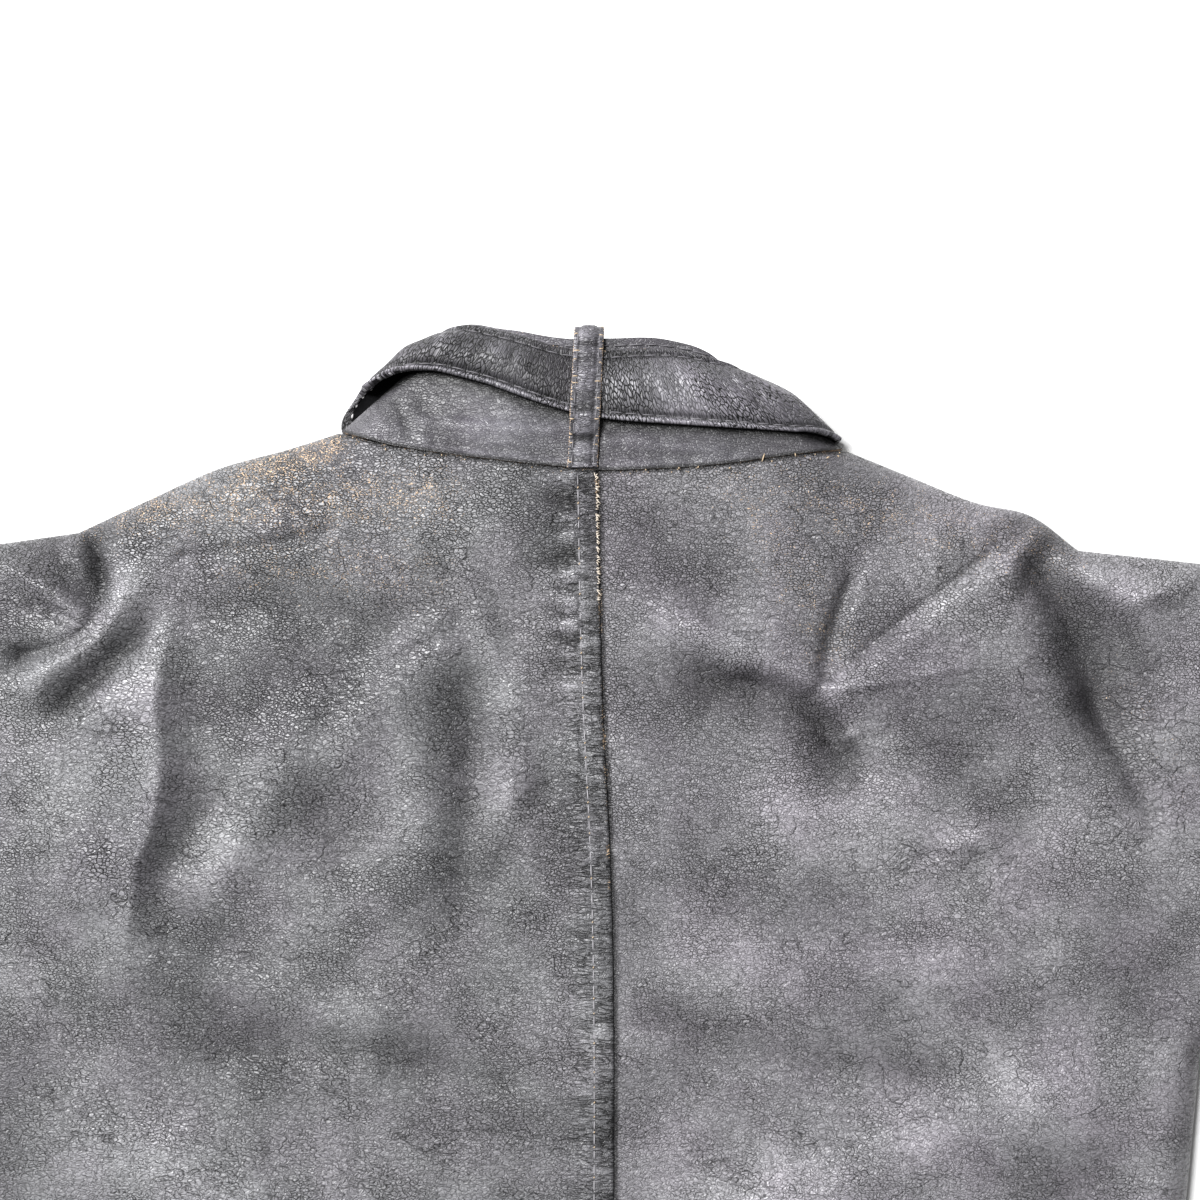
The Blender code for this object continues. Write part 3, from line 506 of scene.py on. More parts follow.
# Collar's free edge in plan, from left fold to right fold: one arc over the back, one under it
STAND_TOP_BACK = (
    Point(-56.0, 57.0), Point(-50.3, 61.0), Point(-31.6, 59.7), Point(-2.6, 55.5), Point(11.5, 55.6),
    Point(38.0, 55.2), Point(54.2, 50.3), Point(64.0, 43.0),
)
STAND_TOP_FRONT = (
    Point(-56.0, 57.0), Point(-60.0, 36.0), Point(-54.0, 10.0), Point(-32.0, -15.0),
    Point(FRONT_CENTRE, -24.0), Point(43.0, -16.0), Point(66.0, 6.0), Point(70.0, 26.0), Point(64.0, 43.0),
)
# Rolls and creases of the stand
STAND_FOLDS = (
    Fold(-66.0, 20.0, -12.0, 16.0, 1.4, 2.6),
    Fold(-60.0, 10.0, -10.0, 6.0, -0.9, 2.2),
    Fold(-78.0, 30.0, -73.0, 17.0, -0.9, 1.5),
    Fold(-84.0, 20.0, -66.0, 13.0, 0.8, 2.0),
    Fold(-66.0, 26.0, -50.0, 10.0, -0.7, 2.5),
    Fold(14.0, 12.0, 60.0, 7.0, 0.8, 2.4),
    Fold(24.0, 6.0, 66.0, 5.0, -0.6, 1.6),
)
STAND_BACK_HEIGHT = 18.0
STAND_FRONT_HEIGHT = 4.5
STAND_FRONT_SEAM = 1.0
STAND_FOLD_HEIGHT = 10.0
COLLAR_INSET = 2.8
FOLD_GAP = 1.0
STAND_ROUNDING = 0.6
FRONT_OPENING = 0.07

# Strap round the collar: turn in degrees from the left fold over the back, its edges as parts of the
# collar's height, and how far its lower edge stands off
STRAP = (
    Strap(-90, 0.38, 0.92, 0.0), Strap(-60, 0.30, 0.88, 0.5), Strap(-34, 0.10, 0.80, 5.0),
    Strap(-22, 0.03, 0.80, 8.0), Strap(-14, 0.06, 0.83, 8.5), Strap(-7, 0.16, 0.85, 7.5),
    Strap(0, 0.30, 0.88, 6.5), Strap(10, 0.46, 0.93, 6.0),
    Strap(20, 0.54, 0.96, 5.0), Strap(50, 0.57, 0.98, 3.5), Strap(90, 0.39, 0.906, 3.0),
    Strap(125, 0.275, 0.91, 2.0), Strap(140, 0.22, 0.90, 2.0), Strap(160, 0.15, 0.90, 2.0),
    Strap(172, 0.07, 0.88, 1.5), Strap(180, 0.04, 0.88, 1.0), Strap(200, 0.08, 0.90, 0.5),
    Strap(225, 0.25, 0.92, 0.0), Strap(270, 0.38, 0.92, 0.0),
)
KEEPER = (
    Keeper(0.010, 1.5), Keeper(0.120, 1.5), Keeper(0.230, 2.2), Keeper(0.320, 5.0), Keeper(0.400, 6.8),
    Keeper(0.650, 5.2), Keeper(0.900, 4.0), Keeper(1.020, 3.2), Keeper(1.075, 1.8), Keeper(1.092, -0.6),
    Keeper(1.060, -3.0), Keeper(0.980, -3.4), Keeper(0.800, -3.2),
)
KEEPER_FOOT_X = 2.0
KEEPER_LEAN = 0.047

# Hides: sizes of pebbles, cracks and crease web, the stretch of all three, dye colours, depths of pebble gaps
# and cracks, and the slope to which pebbles tilt
HIDES = {
    "left": Hide(1.4, 2.7, 5.5, (0.8, 1.25, 1.0), "#48484a", "#5f5f61", 0.21, 0.15, 0.16),
    # The right hide's dye is lighter than the left's as painted light: it brightens the right back and sleeve
    "right": Hide(1.35, 2.9, 5.5, (0.85, 1.2, 1.0), "#555457", "#6c6b6e", 0.19, 0.14, 0.14),
    "collar": Hide(1.4, 3.2, 4.0, (0.8, 1.25, 1.0), "#353437", "#434246", 0.08, 0.03, 0.10),
    "strap": Hide(1.5, 3.0, 3.6, (1.35, 0.5, 1.0), "#454448", "#5b5a5e", 0.26, 0.06, 0.26),
    "keeper": Hide(1.5, 2.6, 3.6, (1.4, 0.6, 1.0), "#424145", "#555458", 0.16, 0.12, 0.28),
}

# Patterns of the leather: sizes, bends and depths in millimetres, widths as shares of a cell or of a noise
PEBBLE_BEND = Bend(3.4, 2.4)
PEBBLE_GAP = 0.22
COARSE_PEBBLE = 1.3       # size of coarse pebbles beside that of fine ones
COARSE_GAP = 0.20
FINE_GRAIN = 0.8
FINE_DEPTH = 0.05
LUMP = 9.0
LUMP_DEPTH = 0.3
CRACK_WIDTH = 0.07
CRACK_RAGGEDNESS = 0.55
LONG_CREASE = 20.0
LONG_CREASE_WIDTH = 0.014
LONG_CREASE_DEPTH = 2.0   # beside that of cracks
WEB_BEND = 1.3            # beside the size of the web
WEB_WIDTH = 0.10
CROSS_CREASE = 2.0
CROSS_STRETCH = (0.25, 1.2, 1.0)
CROSS_BEND = Bend(6.0, 3.0)
CROSS_WIDTH = 0.10
CROSS_DEPTH = 0.5
GATHERED_SMOOTHING = 0.4  # how far gathers smooth the pebbles
SPECK = 0.65              # specks of bare hide
SPECK_CLUMP = 6.0
SPECK_CLUMPING = 0.28
SPECK_EDGE = Spread(0.0, 0.05)
WEAR_STRENGTH = 0.28
WEAR_START = Spread(0.02, 0.12)
TAPE_RIB = 0.7
RIB_WAVE = 0.31           # scale of a wave texture that has one band in a unit of length

# Soft patches: where long creases and the web show, how deep and how dark gaps are, tone and tint of the dye
CREASED_PATCHES = Patches(24.0, 0.0, Spread(0.42, 0.62))
WEBBED_PATCHES = Patches(46.0, 1.0, Spread(0.49, 0.72, 0.0, 0.5))
LOOSE_PATCHES = Patches(30.0, 0.0, Spread(0.25, 0.75, 0.6, 1.2))
GAP_PATCHES = Patches(22.0, 1.0, Spread(0.33, 0.67, 0.45, 1.15))
TONE_PATCHES = Patches(70.0, 1.0, Spread(0.28, 0.72))
TINT_PATCHES = Patches(40.0, 2.0, Spread(0.35, 0.70))

# Shading of the dye: gaps and cracks darken it for each millimetre of depth, the others by a share; painted
# highlights, painted shade and the roughness follow the relief in millimetres
BASE_SHADE = 1.61
GAP_SHADE = 6.8
CRACK_SHADE = 3.2
CRACK_SHADE_LIMIT = 0.7
WEB_SHADE = 0.5
CROSS_SHADE = 0.8
PEBBLE_TONES = Spread(0.2, 0.8, 0.88, 1.12)
RELIEF_PAINTED_LIGHT = Spread(-10.0, 10.0, 0.35, 1.75)
SUNK_PAINTED_SHADE = Spread(-24.0, -10.0, 0.1, 1.0)
RELIEF_ROUGHNESS = Spread(-10.0, 10.0, 0.45, 0.28)
CROSS_IN_DIPS = Spread(-3.0, 8.0, 1.0, 0.1)
CRACK_ROUGHNESS = 0.2
BARE_ROUGHNESS = 0.3
TINT = "#fffbff"
BARE_HIDE = ("#ad8f70", "#dec4a6")

# Sockets of a mix node, by number because their names occur more than once
SHARE = 0
VALUE_A = 2
VALUE_B = 3
COLOUR_A = 6
COLOUR_B = 7
MIXED_COLOUR = 2

# Settings that nodes share, and the middle value of a random colour
SMOOTH = {"interpolation_type": "SMOOTHSTEP"}
FLAT_NOISE = {"noise_dimensions": "2D"}
FLAT_CELLS = {"voronoi_dimensions": "2D"}
COLOURS = {"data_type": "RGBA"}
MIDDLE = (0.5, 0.5, 0.5)

# Floor, lights and sky, in metres
FLOOR_HALF = 6.0
FLOOR_DROP = 0.0003
LIGHTS_AIM = (0.0, 0.2, 0.0)
LIGHTS = (
    Light("key", (-1.0, 1.05, 2.7), 1.0, 130.0),
    Light("side", (-3.4, 1.6, 1.9), 1.0, 215.0),
)
PAPER = "#f7f7f7"
PAPER_ROUGHNESS = 0.9
SKY = "#fdfdfd"
SKY_STRENGTH = 0.2

# Camera straight above the jacket: half a metre of it fills the picture
CAMERA_LENS = 85.0
CAMERA_SENSOR = 36.0
CAMERA_X = 9.4
CAMERA_Y = -55.9
PICTURE_WIDTH = 512.0
PICTURED_HEIGHT = 18.0
CAMERA_HEIGHT = PICTURED_HEIGHT + PICTURE_WIDTH * CAMERA_LENS / CAMERA_SENSOR


def linear(hex_colour):
    """sRGB hex colour as linear red, green, blue and alpha."""
    parts = np.array([int(hex_colour[i:i + 2], 16) for i in (1, 3, 5)]) / 255.0
    low = parts / 12.92
    high = ((parts + 0.055) / 1.055) ** 2.4
    return (*np.where(parts <= 0.04045, low, high).tolist(), 1.0)


def smooth_line(points):
    """Dense line through a table's points: cubics between neighbours, their slopes from the points around."""
    table = np.array(points, float)
    chord = np.concatenate(([0.0], np.cumsum(np.linalg.norm(np.diff(table, axis=0), axis=1))))
    slope = np.gradient(table, chord, axis=0)
    at = np.linspace(0.0, chord[-1], CURVE_POINTS)
    left = np.clip(np.searchsorted(chord, at, side="right") - 1, 0, len(chord) - 2)
    step = (chord[left + 1] - chord[left])[:, None]
    part = (at - chord[left])[:, None] / step
    ease = 3 * part**2 - 2 * part**3
    start = (1 - ease) * table[left] + (part**3 - 2 * part**2 + part) * step * slope[left]
    end = ease * table[left + 1] + (part**3 - part**2) * step * slope[left + 1]
    return start + end


def lengths(line):
    """Distance along a line to each of its points."""
    return np.concatenate(([0.0], np.cumsum(np.linalg.norm(np.diff(line, axis=0), axis=1))))


def along(line, fractions):
    """Points of a line at fractions of its length."""
    distance = lengths(line)
    at = np.asarray(fractions) * distance[-1]
    return np.stack([np.interp(at, distance, line[:, axis]) for axis in range(line.shape[1])], axis=1)


def joined(first, second):
    """Two lines end to end, and the fraction of the length at which they meet."""
    line = np.concatenate((first, second[1:]))
    distance = lengths(line)
    return line, distance[len(first) - 1] / distance[-1]


def spaced(length, spacing, first, last):
    """Fractions of a length: the given steps in from both ends and even ones between them."""
    room = length - first[-1] - last[-1]
    between = np.linspace(first[-1], length - last[-1], int(room / spacing) + 2)[1:-1]
    return np.concatenate((first, between, length - np.array(last[::-1]))) / length


def away_from(x, y, x0, y0, x1, y1):
    """Distance in plan from each point to a straight segment."""
    run = x1 - x0
    climb = y1 - y0
    part = np.clip(((x - x0) * run + (y - y0) * climb) / (run**2 + climb**2), 0.0, 1.0)
    return np.hypot(x - x0 - part * run, y - y0 - part * climb)


def folded_outlines():
    """Lines where the flat garment turns under: shoulders with sleeve tops, sides with sleeve undersides."""
    lines = []
    for side in SIDES:
        lines.append(joined(smooth_line(SHOULDER[side]), smooth_line(SLEEVE_TOP[side]))[0])
        lines.append(joined(smooth_line(SIDE[side]), smooth_line(SLEEVE_UNDER[side]))[0])
    return lines


OUTLINES = folded_outlines()
MIRRORED_FOLDS = tuple(fold._replace(x0=-fold.x0, x1=-fold.x1) for fold in SLEEVE_FOLDS)
MAIN_FOLDS = BODY_FOLDS + SLEEVE_FOLDS + MIRRORED_FOLDS
NECK_LINE = smooth_line(BACK_NECK)
SEAM_LINE = smooth_line(CENTRE_BACK)


def edge_distance(x, y):
    """Distance in plan to the nearest folded outline; far points keep the distance to its rough copy."""
    nearest = np.full(np.shape(x), np.inf)
    for line in OUTLINES:
        coarse = line[::ROUGH_STEP]
        rough = np.full(np.shape(x), np.inf)
        for start, end in zip(coarse[:-1], coarse[1:]):
            rough = np.minimum(rough, away_from(x, y, *start, *end))
        near = rough < UPPER_ROLL + ROUGH_SLACK
        exact = rough[near]
        exact[:] = np.inf
        for start, end in zip(line[:-1], line[1:]):
            exact = np.minimum(exact, away_from(x[near], y[near], *start, *end))
        rough[near] = exact
        nearest = np.minimum(nearest, rough)
    return nearest


def rounded(distance, width):
    """Quarter ellipse: 0 on the edge, upright there, and 1 at the given width from it."""
    inside = np.clip(distance / width, 0.0, 1.0)
    return np.sqrt(1.0 - (1.0 - inside) ** 2)


def bell(distance, reach):
    """Bell curve: 1 on a line and about a third at a reach from it."""
    return np.exp(-((distance / reach) ** 2))


def uneven(x, y, spacing, seed):
    """Smooth random field from -1 to 1: random values on a square lattice, eased between its corners."""
    lattice = np.random.default_rng(seed).uniform(-1.0, 1.0, (LATTICE, LATTICE))
    column, row = np.floor(x / spacing).astype(int), np.floor(y / spacing).astype(int)
    across, upward = x / spacing - column, y / spacing - row
    across, upward = across**2 * (3 - 2 * across), upward**2 * (3 - 2 * upward)
    low = lattice[row % LATTICE, column % LATTICE] * (1 - across)
    low = low + lattice[row % LATTICE, (column + 1) % LATTICE] * across
    high = lattice[(row + 1) % LATTICE, column % LATTICE] * (1 - across)
    high = high + lattice[(row + 1) % LATTICE, (column + 1) % LATTICE] * across
    return low * (1 - upward) + high * upward


def ripples(x, y, table):
    """Sum of the smooth random fields of a table."""
    return sum(row.amount * uneven(x, y, row.spacing, row.seed) for row in table)


def fold_rise(x, y, fold):
    """Height of a fold: a bell across its bowed line, wider on one side by its lean, fading past its ends."""
    run, climb = fold.x1 - fold.x0, fold.y1 - fold.y0
    length = np.hypot(run, climb)
    ahead = ((x - fold.x0) * run + (y - fold.y0) * climb) / length
    part = np.clip(ahead / length, 0.0, 1.0)
    past = ahead - part * length
    aside = ((y - fold.y0) * run - (x - fold.x0) * climb) / length - fold.bend * 4 * part * (1 - part)
    reach = fold.reach * (1.0 + fold.lean * np.sign(aside))
    across = np.exp(-np.abs(aside / reach) ** fold.power)
    return fold.rise * across * bell(past, END_FADE * fold.reach)


def fold_relief(x, y, folds):
    """Sum of the heights of a table's folds."""
    total = np.zeros(np.shape(x))
    for fold in folds:
        total = total + fold_rise(x, y, fold)
    return total


def hand_relief(grid):
    """How far the folds raise or sink each point of the upper layer, in millimetres."""
    return fold_relief(grid[..., 0], grid[..., 1], MAIN_FOLDS + FINE_FOLDS)


def back_relief(grid):
    """Relief of a back panel for its painted highlights and shade: its folds, and a line of painted shade
    along the neck seam.
    """
    from_neck = neck_line_y(grid[..., 0]) - grid[..., 1]
    return hand_relief(grid) + groove(from_neck, *SEAM_SHADE)


def neck_line_y(x):
    """Place of the back neck seam along Y."""
    return np.interp(x, NECK_LINE[:, 0], NECK_LINE[:, 1])


def upper_height(x, y, fine=True):
    """Outer face of the back and of the sleeves' back halves: loft, folds and slack, round at the edges."""
    rise = LOFT + NECK_LOFT * bell(x, NECK_LOFT_REACH.x) * bell(y, NECK_LOFT_REACH.y)
    rise = rise - HEM_SLACK * np.clip(-y / BACK_LENGTH, 0.0, 1.0) + fold_relief(x, y, MAIN_FOLDS)
    if fine:
        loose = 1.0 - bell(neck_line_y(x) - y, TAUT_BELOW_NECK)
        taut = bell(x - TAUT_MIDDLE.x, TAUT_REACH.x) * bell(y - TAUT_MIDDLE.y, TAUT_REACH.y)
        slack = loose * (SLACK - TAUTNESS * taut)
        rise = rise + fold_relief(x, y, FINE_FOLDS) + slack * ripples(x, y, SLACK_RIPPLES)
    return SEAM_HEIGHT + EDGE_GAP / 2 + rise * rounded(edge_distance(x, y), UPPER_ROLL)


def lower_height(x, y):
    """Outer face of the fronts and the sleeves' front halves: flat on the surface, turned up at the edges."""
    return (SEAM_HEIGHT - EDGE_GAP / 2) * (1.0 - rounded(edge_distance(x, y), LOWER_ROLL))


def groove(distance, depth, reach):
    """Trough of a given depth along a sewn line."""
    return -depth * bell(distance, reach)


def lap_distance(x, y):
    """How far each point lies left of the lapped edge of the centre back seam."""
    return np.interp(y, SEAM_LINE[:, 1], SEAM_LINE[:, 0]) - x


def puckers(x, y):
    """Cross ridges that the centre back stitches draw up: bells at uneven steps, fading to the left.

    Between the stitches and the lapped edge there are only fine ribs.
    """
    draw = np.random.default_rng(SEEDS["puckers"])
    count = int(BACK_LENGTH / PUCKER_PITCH)
    shifts = draw.uniform(-PUCKER_SHIFT, PUCKER_SHIFT, count)
    places = -PUCKER_PITCH * (np.arange(count) + PUCKER_START + shifts)
    heights = draw.uniform(*PUCKER_HEIGHTS, count)
    slants = draw.uniform(-PUCKER_SLANT, PUCKER_SLANT, count)
    reaches = draw.uniform(*PUCKER_REACHES, count)
    aside = lap_distance(x, y) - SEAM_STITCH_IN
    left = np.clip(aside, 0.0, None)
    fade = np.where(aside > 0.0, (1.0 - np.exp(-left / PUCKER_ONSET)) * bell(left, PUCKER_LENGTH), 0.0)
    upper_part = np.clip((y - PUCKERED_DOWN_TO) / PUCKER_FADE, 0.0, 1.0)
    fade = fade * (PUCKER_REST + (1.0 - PUCKER_REST) * upper_part)
    near = fade > PUCKER_LIMIT
    total = np.zeros(near.sum())
    for place, height, slant, reach in zip(places, heights, slants, reaches):
        total += height * bell(y[near] - place - slant * left[near], reach)
    bumps = np.zeros(x.shape)
    bumps[near] = (total - PUCKER_MEAN) * fade[near]
    return bumps + (aside < 0.0) * ripples(x / LAP_RIB_LENGTH, y, (LAP_RIBS,))


def back_sewing(x, y):
    """Dips of the back at its neck seam and along its hem stitches."""
    return groove(neck_line_y(x) - y, *NECK_SEAM) + groove(y + BACK_LENGTH - HEM_STITCH_IN, *HEM_SEWING)


def left_back_height(x, y):
    """Left back panel: the upper layer, climbing onto the right panel at the lapped seam, with its sewing."""
    from_edge = lap_distance(x, y)
    climb = np.clip((LAP_WIDTH + LAP_SPARE + LAP_RAMP - from_edge) / LAP_RAMP, 0.0, 1.0)
    lap = (LEATHER + LAP_GAP) * climb**2 * (3 - 2 * climb)
    edge = LAP_EDGE_DROP * (1.0 - rounded(from_edge, LAP_EDGE_ROUND))
    sewn = groove(from_edge - SEAM_STITCH_IN, *LAP_SEWING)
    return upper_height(x, y) + lap - edge + sewn + puckers(x, y) + back_sewing(x, y)


def right_back_height(x, y):
    """Right back panel: the upper layer, pressed down a little under the lapped edge."""
    press = groove(np.clip(-lap_distance(x, y), 0.0, None), *LAP_PRESS)
    return upper_height(x, y) + press + back_sewing(x, y)


def patch(low, high, start, end, across, upward):
    """Plan grid between four edge lines: the two blends of opposite edges, less the blend of the corners."""
    s = across[None, :, None]
    t = upward[:, None, None]
    rows = (1 - t) * along(low, across)[None] + t * along(high, across)[None]
    columns = (1 - s) * along(start, upward)[:, None] + s * along(end, upward)[:, None]
    corners = (1 - t) * ((1 - s) * low[0] + s * low[-1]) + t * ((1 - s) * high[0] + s * high[-1])
    return rows + columns - corners


def raised(plan, height):
    """Plan grid with a height rule laid over it."""
    x, y = plan[..., 0], plan[..., 1]
    return np.stack((x, y, height(x, y)), axis=-1)


def strongest(grid, places):
    """Largest amount of a table's places at each point of a grid, where each fades away from its line."""
    x, y = grid[..., 0], grid[..., 1]
    total = np.zeros(x.shape)
    for place in places:
        away = away_from(x, y, place.x0, place.y0, place.x1, place.y1)
        total = np.maximum(total, place.amount * bell(away, place.reach))
    return total


def rubbed(grid):
    """Wear of the upper layer: its rubbed places, uneven along the lapped edge, and the neck seam."""
    x, y = grid[..., 0], grid[..., 1]
    chips = bell(lap_distance(x, y), CHIPPED_EDGE) * uneven(x, y, CHIP_SPACING, SEEDS["chips"])
    wear = strongest(grid, RUBS) * (1.0 + chips)
    seam = NECK_SEAM_WEAR * bell(neck_line_y(x) - y, NECK_SEAM_WORN) * (np.abs(x) < NECK_HALF)
    return np.maximum(wear, seam)


def to_frame(points):
    """Plan millimetres from the neck point as metres in the part's frame."""
    return (points + np.array((0.0, NECK_Y, 0.0))) * MM


def grid_faces(rows, columns, loop_rows=False, loop_columns=False):
    """Corner numbers of the quads of a grid, which may close on itself either way."""
    row = np.arange(rows if loop_rows else rows - 1)[:, None]
    column = np.arange(columns if loop_columns else columns - 1)[None, :]
    next_row = (row + 1) % rows
    next_column = (column + 1) % columns
    corners = (row * columns + column, row * columns + next_column)
    corners += (next_row * columns + next_column, next_row * columns + column)
    return np.stack([corner.ravel() for corner in corners], axis=1)


def add_mesh(name, points, faces, materials, attributes=()):
    """New piece at the origin from points in plan millimetres and lists of corner numbers, shaded smooth."""
    mesh = bpy.data.meshes.new(name)
    mesh.from_pydata(to_frame(points).tolist(), [], faces if isinstance(faces, list) else faces.tolist())
    mesh.polygons.foreach_set("use_smooth", np.ones(len(mesh.polygons), bool))
    for material in materials:
        mesh.materials.append(material)
    for key, values in dict(attributes).items():
        kind = "FLOAT" if values.ndim == 1 else "FLOAT_VECTOR"
        field = "value" if values.ndim == 1 else "vector"
        mesh.attributes.new(key, kind, "POINT").data.foreach_set(field, values.astype(np.float32).ravel())
    mesh.update()
    piece = bpy.data.objects.new(name, mesh)
    bpy.context.scene.collection.objects.link(piece)
    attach(piece, "root")
    return piece


def dress(node):
    """Hides the solid that a leather piece stands for."""
    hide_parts(node)


def sharpen_border(mesh, rows, columns):
    """Marks the outer edges of a grid as sharp, so that its face is shaded evenly up to them."""
    ends = np.empty(len(mesh.edges) * 2, int)
    mesh.edges.foreach_get("vertices", ends)
    row, column = np.divmod(ends.reshape(-1, 2), columns)
    border = np.zeros(len(mesh.edges), bool)
    for place, last in ((row, rows - 1), (column, columns - 1)):
        border |= (place == 0).all(axis=1) | (place == last).all(axis=1)
    mesh.attributes.new("sharp_edge", "BOOLEAN", "EDGE").data.foreach_set("value", border)


def add_shell(node, grid, thickness, materials, wear, flip=False, relief=None, gathered=None):
    """Leather shell: a grid of points as its outer face, thickened inwards, lined, with raw edges.

    Wear, relief and gathers are given for each point of the grid, for the leather's looks; the relief
    carries painted highlights and painted shade.
    """
    rows, columns = grid.shape[:2]
    faces = grid_faces(rows, columns)
    if flip:
        faces = faces[:, ::-1]
    points = grid.reshape(-1, 3)
    relief = np.zeros((rows, columns)) if relief is None else relief
    creased = strongest(grid, CREASED).ravel()
    coarse = strongest(grid, COARSE).ravel()
    attributes = {"wear": wear.ravel(), "relief": relief.ravel(), "creased": creased, "coarse": coarse}
    if gathered is not None:
        attributes["gathered"] = gathered.ravel()
    piece = add_mesh(f"{node}_leather", points, faces, materials, attributes)
    sharpen_border(piece.data, rows, columns)
    wall = piece.modifiers.new("wall", "SOLIDIFY")
    wall.thickness = thickness * MM
    wall.offset = -1.0
    wall.use_quality_normals = True
    wall.material_offset = 1
    wall.material_offset_rim = 2
    dress(node)


def armhole_rows(side, spacing):
    """Fractions along the armhole, shared by the body and the sleeve so that their edges meet."""
    return spaced(lengths(smooth_line(ARMHOLE[side]))[-1], spacing, ROLL_STEPS, ROLL_STEPS)


def body_panel(centre, neck, side, first_steps, spacing, armhole_spacing, lower_spacing):
    """Plan of half a body layer, from its centre line to its side seam and armhole."""
    top = joined(neck, smooth_line(SHOULDER[side]))[0]
    seam = smooth_line(SIDE[side])
    outer, underarm = joined(seam, smooth_line(ARMHOLE[side]))
    hem = np.linspace(centre[0], outer[0], CURVE_POINTS)
    across = spaced(lengths(top)[-1], spacing, first_steps, ROLL_STEPS)
    below = spaced(lengths(seam)[-1], lower_spacing, HEM_STEPS, PLAIN_EDGE)[:-1] * underarm
    upward = np.concatenate((below, underarm + (1.0 - underarm) * armhole_rows(side, armhole_spacing)))
    return patch(hem, top, centre, outer, across, upward)


def neck_part(first_x, last_x):
    """Back neck seam between two places along X."""
    x = np.linspace(first_x, last_x, CURVE_POINTS)
    return np.stack((x, neck_line_y(x)), axis=1)


def add_back(left_materials, right_materials):
    """Two back panels, the left one lapped over the right at the centre seam."""
    fine = (BACK_SPACING, ARMHOLE_SPACING, LOWER_SPACING)
    neck = neck_part(SEAM_LINE[-1, 0], BACK_NECK[0].x)
    left = raised(body_panel(SEAM_LINE, neck, "left", LAP_STEPS, *fine), left_back_height)
    from_edge = lap_distance(left[..., 0], left[..., 1])
    # Relief that the dye's painted light follows: the folds, painted shade at the neck seam, painted
    # highlights and shade on the puckers, and a painted highlight beside the stitches
    relief = back_relief(left) + PUCKER_SHADE * puckers(left[..., 0], left[..., 1])
    relief = relief - groove(from_edge - SEAM_STITCH_IN, *STITCH_SHINE)
    gathered = np.clip((GATHERED_TO - from_edge) / GATHER_FADE, 0.0, 1.0)
    add_shell("back_left", left, LEATHER, left_materials, rubbed(left), True, relief, gathered)
    hidden = SEAM_LINE + np.array((-LAP_WIDTH, 0.0))
    neck = neck_part(hidden[-1, 0], BACK_NECK[-1].x)
    hidden[-1, 1] = neck[0, 1]
    right = raised(body_panel(hidden, neck, "right", LAP_STEPS, *fine), right_back_height)
    from_lap = np.clip(-lap_distance(right[..., 0], right[..., 1]), 0.0, None)
    # Painted shadow on the right panel beside the lapped edge
    relief = back_relief(right) + groove(from_lap, *LAP_SHADE)
    add_shell("back_right", right, LEATHER, right_materials, rubbed(right), False, relief)


def add_fronts(materials):
    """Two plain fronts under the back, flat on the surface, with the zip's gap between them."""
    neck = smooth_line(FRONT_NECK)
    coarse = (HIDDEN_SPACING, HIDDEN_SPACING, HIDDEN_SPACING)
    for side, sign in (("left", -1), ("right", 1)):
        edge_x = FRONT_CENTRE + sign * ZIP_OPENING
        half = neck[neck[:, 0] < edge_x][::-1] if sign < 0 else neck[neck[:, 0] > edge_x]
        half = np.concatenate(([[edge_x, -FRONT_NECK_DEPTH]], half))
        centre = np.linspace((edge_x, -BACK_LENGTH), half[0], CURVE_POINTS)
        plan = body_panel(centre, half, side, ZIP_EDGE_STEPS, *coarse)
        grid = raised(plan, lower_height)
        add_shell(f"front_{side}", grid, LEATHER, materials, np.zeros(grid.shape[:2]), sign > 0)


def add_sleeve(side, materials):
    """Back and front halves of a sleeve, from the armhole to the cuff."""
    leftward = SHOULDER[side][-1].x < 0.0
    top = smooth_line(SLEEVE_TOP[side])
    under = smooth_line(SLEEVE_UNDER[side])
    armhole = smooth_line(ARMHOLE[side])
    cuff = np.linspace(under[-1], top[-1], CURVE_POINTS)
    length = lengths(top)[-1]
    lengthwise = spaced(length, SLEEVE_SPACING, NEAR_SLEEVE_STEPS, CUFF_STEPS)
    plan = patch(under, top, armhole, cuff, lengthwise, armhole_rows(side, ARMHOLE_SPACING))
    back = raised(plan, upper_height)
    back[..., 2] += groove((1.0 - lengthwise)[None] * length - CUFF_STITCH_IN, *CUFF_SEWING)
    # The folds' heights, which the dye's painted highlights and painted shade follow
    relief = hand_relief(back)
    add_shell(f"sleeve_{side}_back", back, LEATHER, materials, rubbed(back), leftward, relief)
    lengthwise = spaced(length, HIDDEN_SPACING, PLAIN_EDGE, PLAIN_EDGE)
    plan = patch(under, top, armhole, cuff, lengthwise, armhole_rows(side, HIDDEN_SPACING))
    front = raised(plan, lower_height)
    add_shell(f"sleeve_{side}_front", front, LEATHER, materials, np.zeros(front.shape[:2]), not leftward)


def collar_ring(turn, back_line, front_line):
    """Plan points round the flattened collar: the back line where it lies on top, the front line beneath."""
    part = (1.0 - np.cos(turn)) / 2
    on_top = (np.sin(turn) >= 0.0)[:, None]
    return np.where(on_top, along(back_line, part), along(front_line, part))


def ring_height(turn, top, fold, under):
    """Height round the flattened collar: round at the side folds, level between them."""
    swing = np.abs(np.sin(turn)) ** STAND_ROUNDING
    return np.where(np.sin(turn) >= 0.0, fold + (top - fold) * swing, fold + (under - fold) * swing)


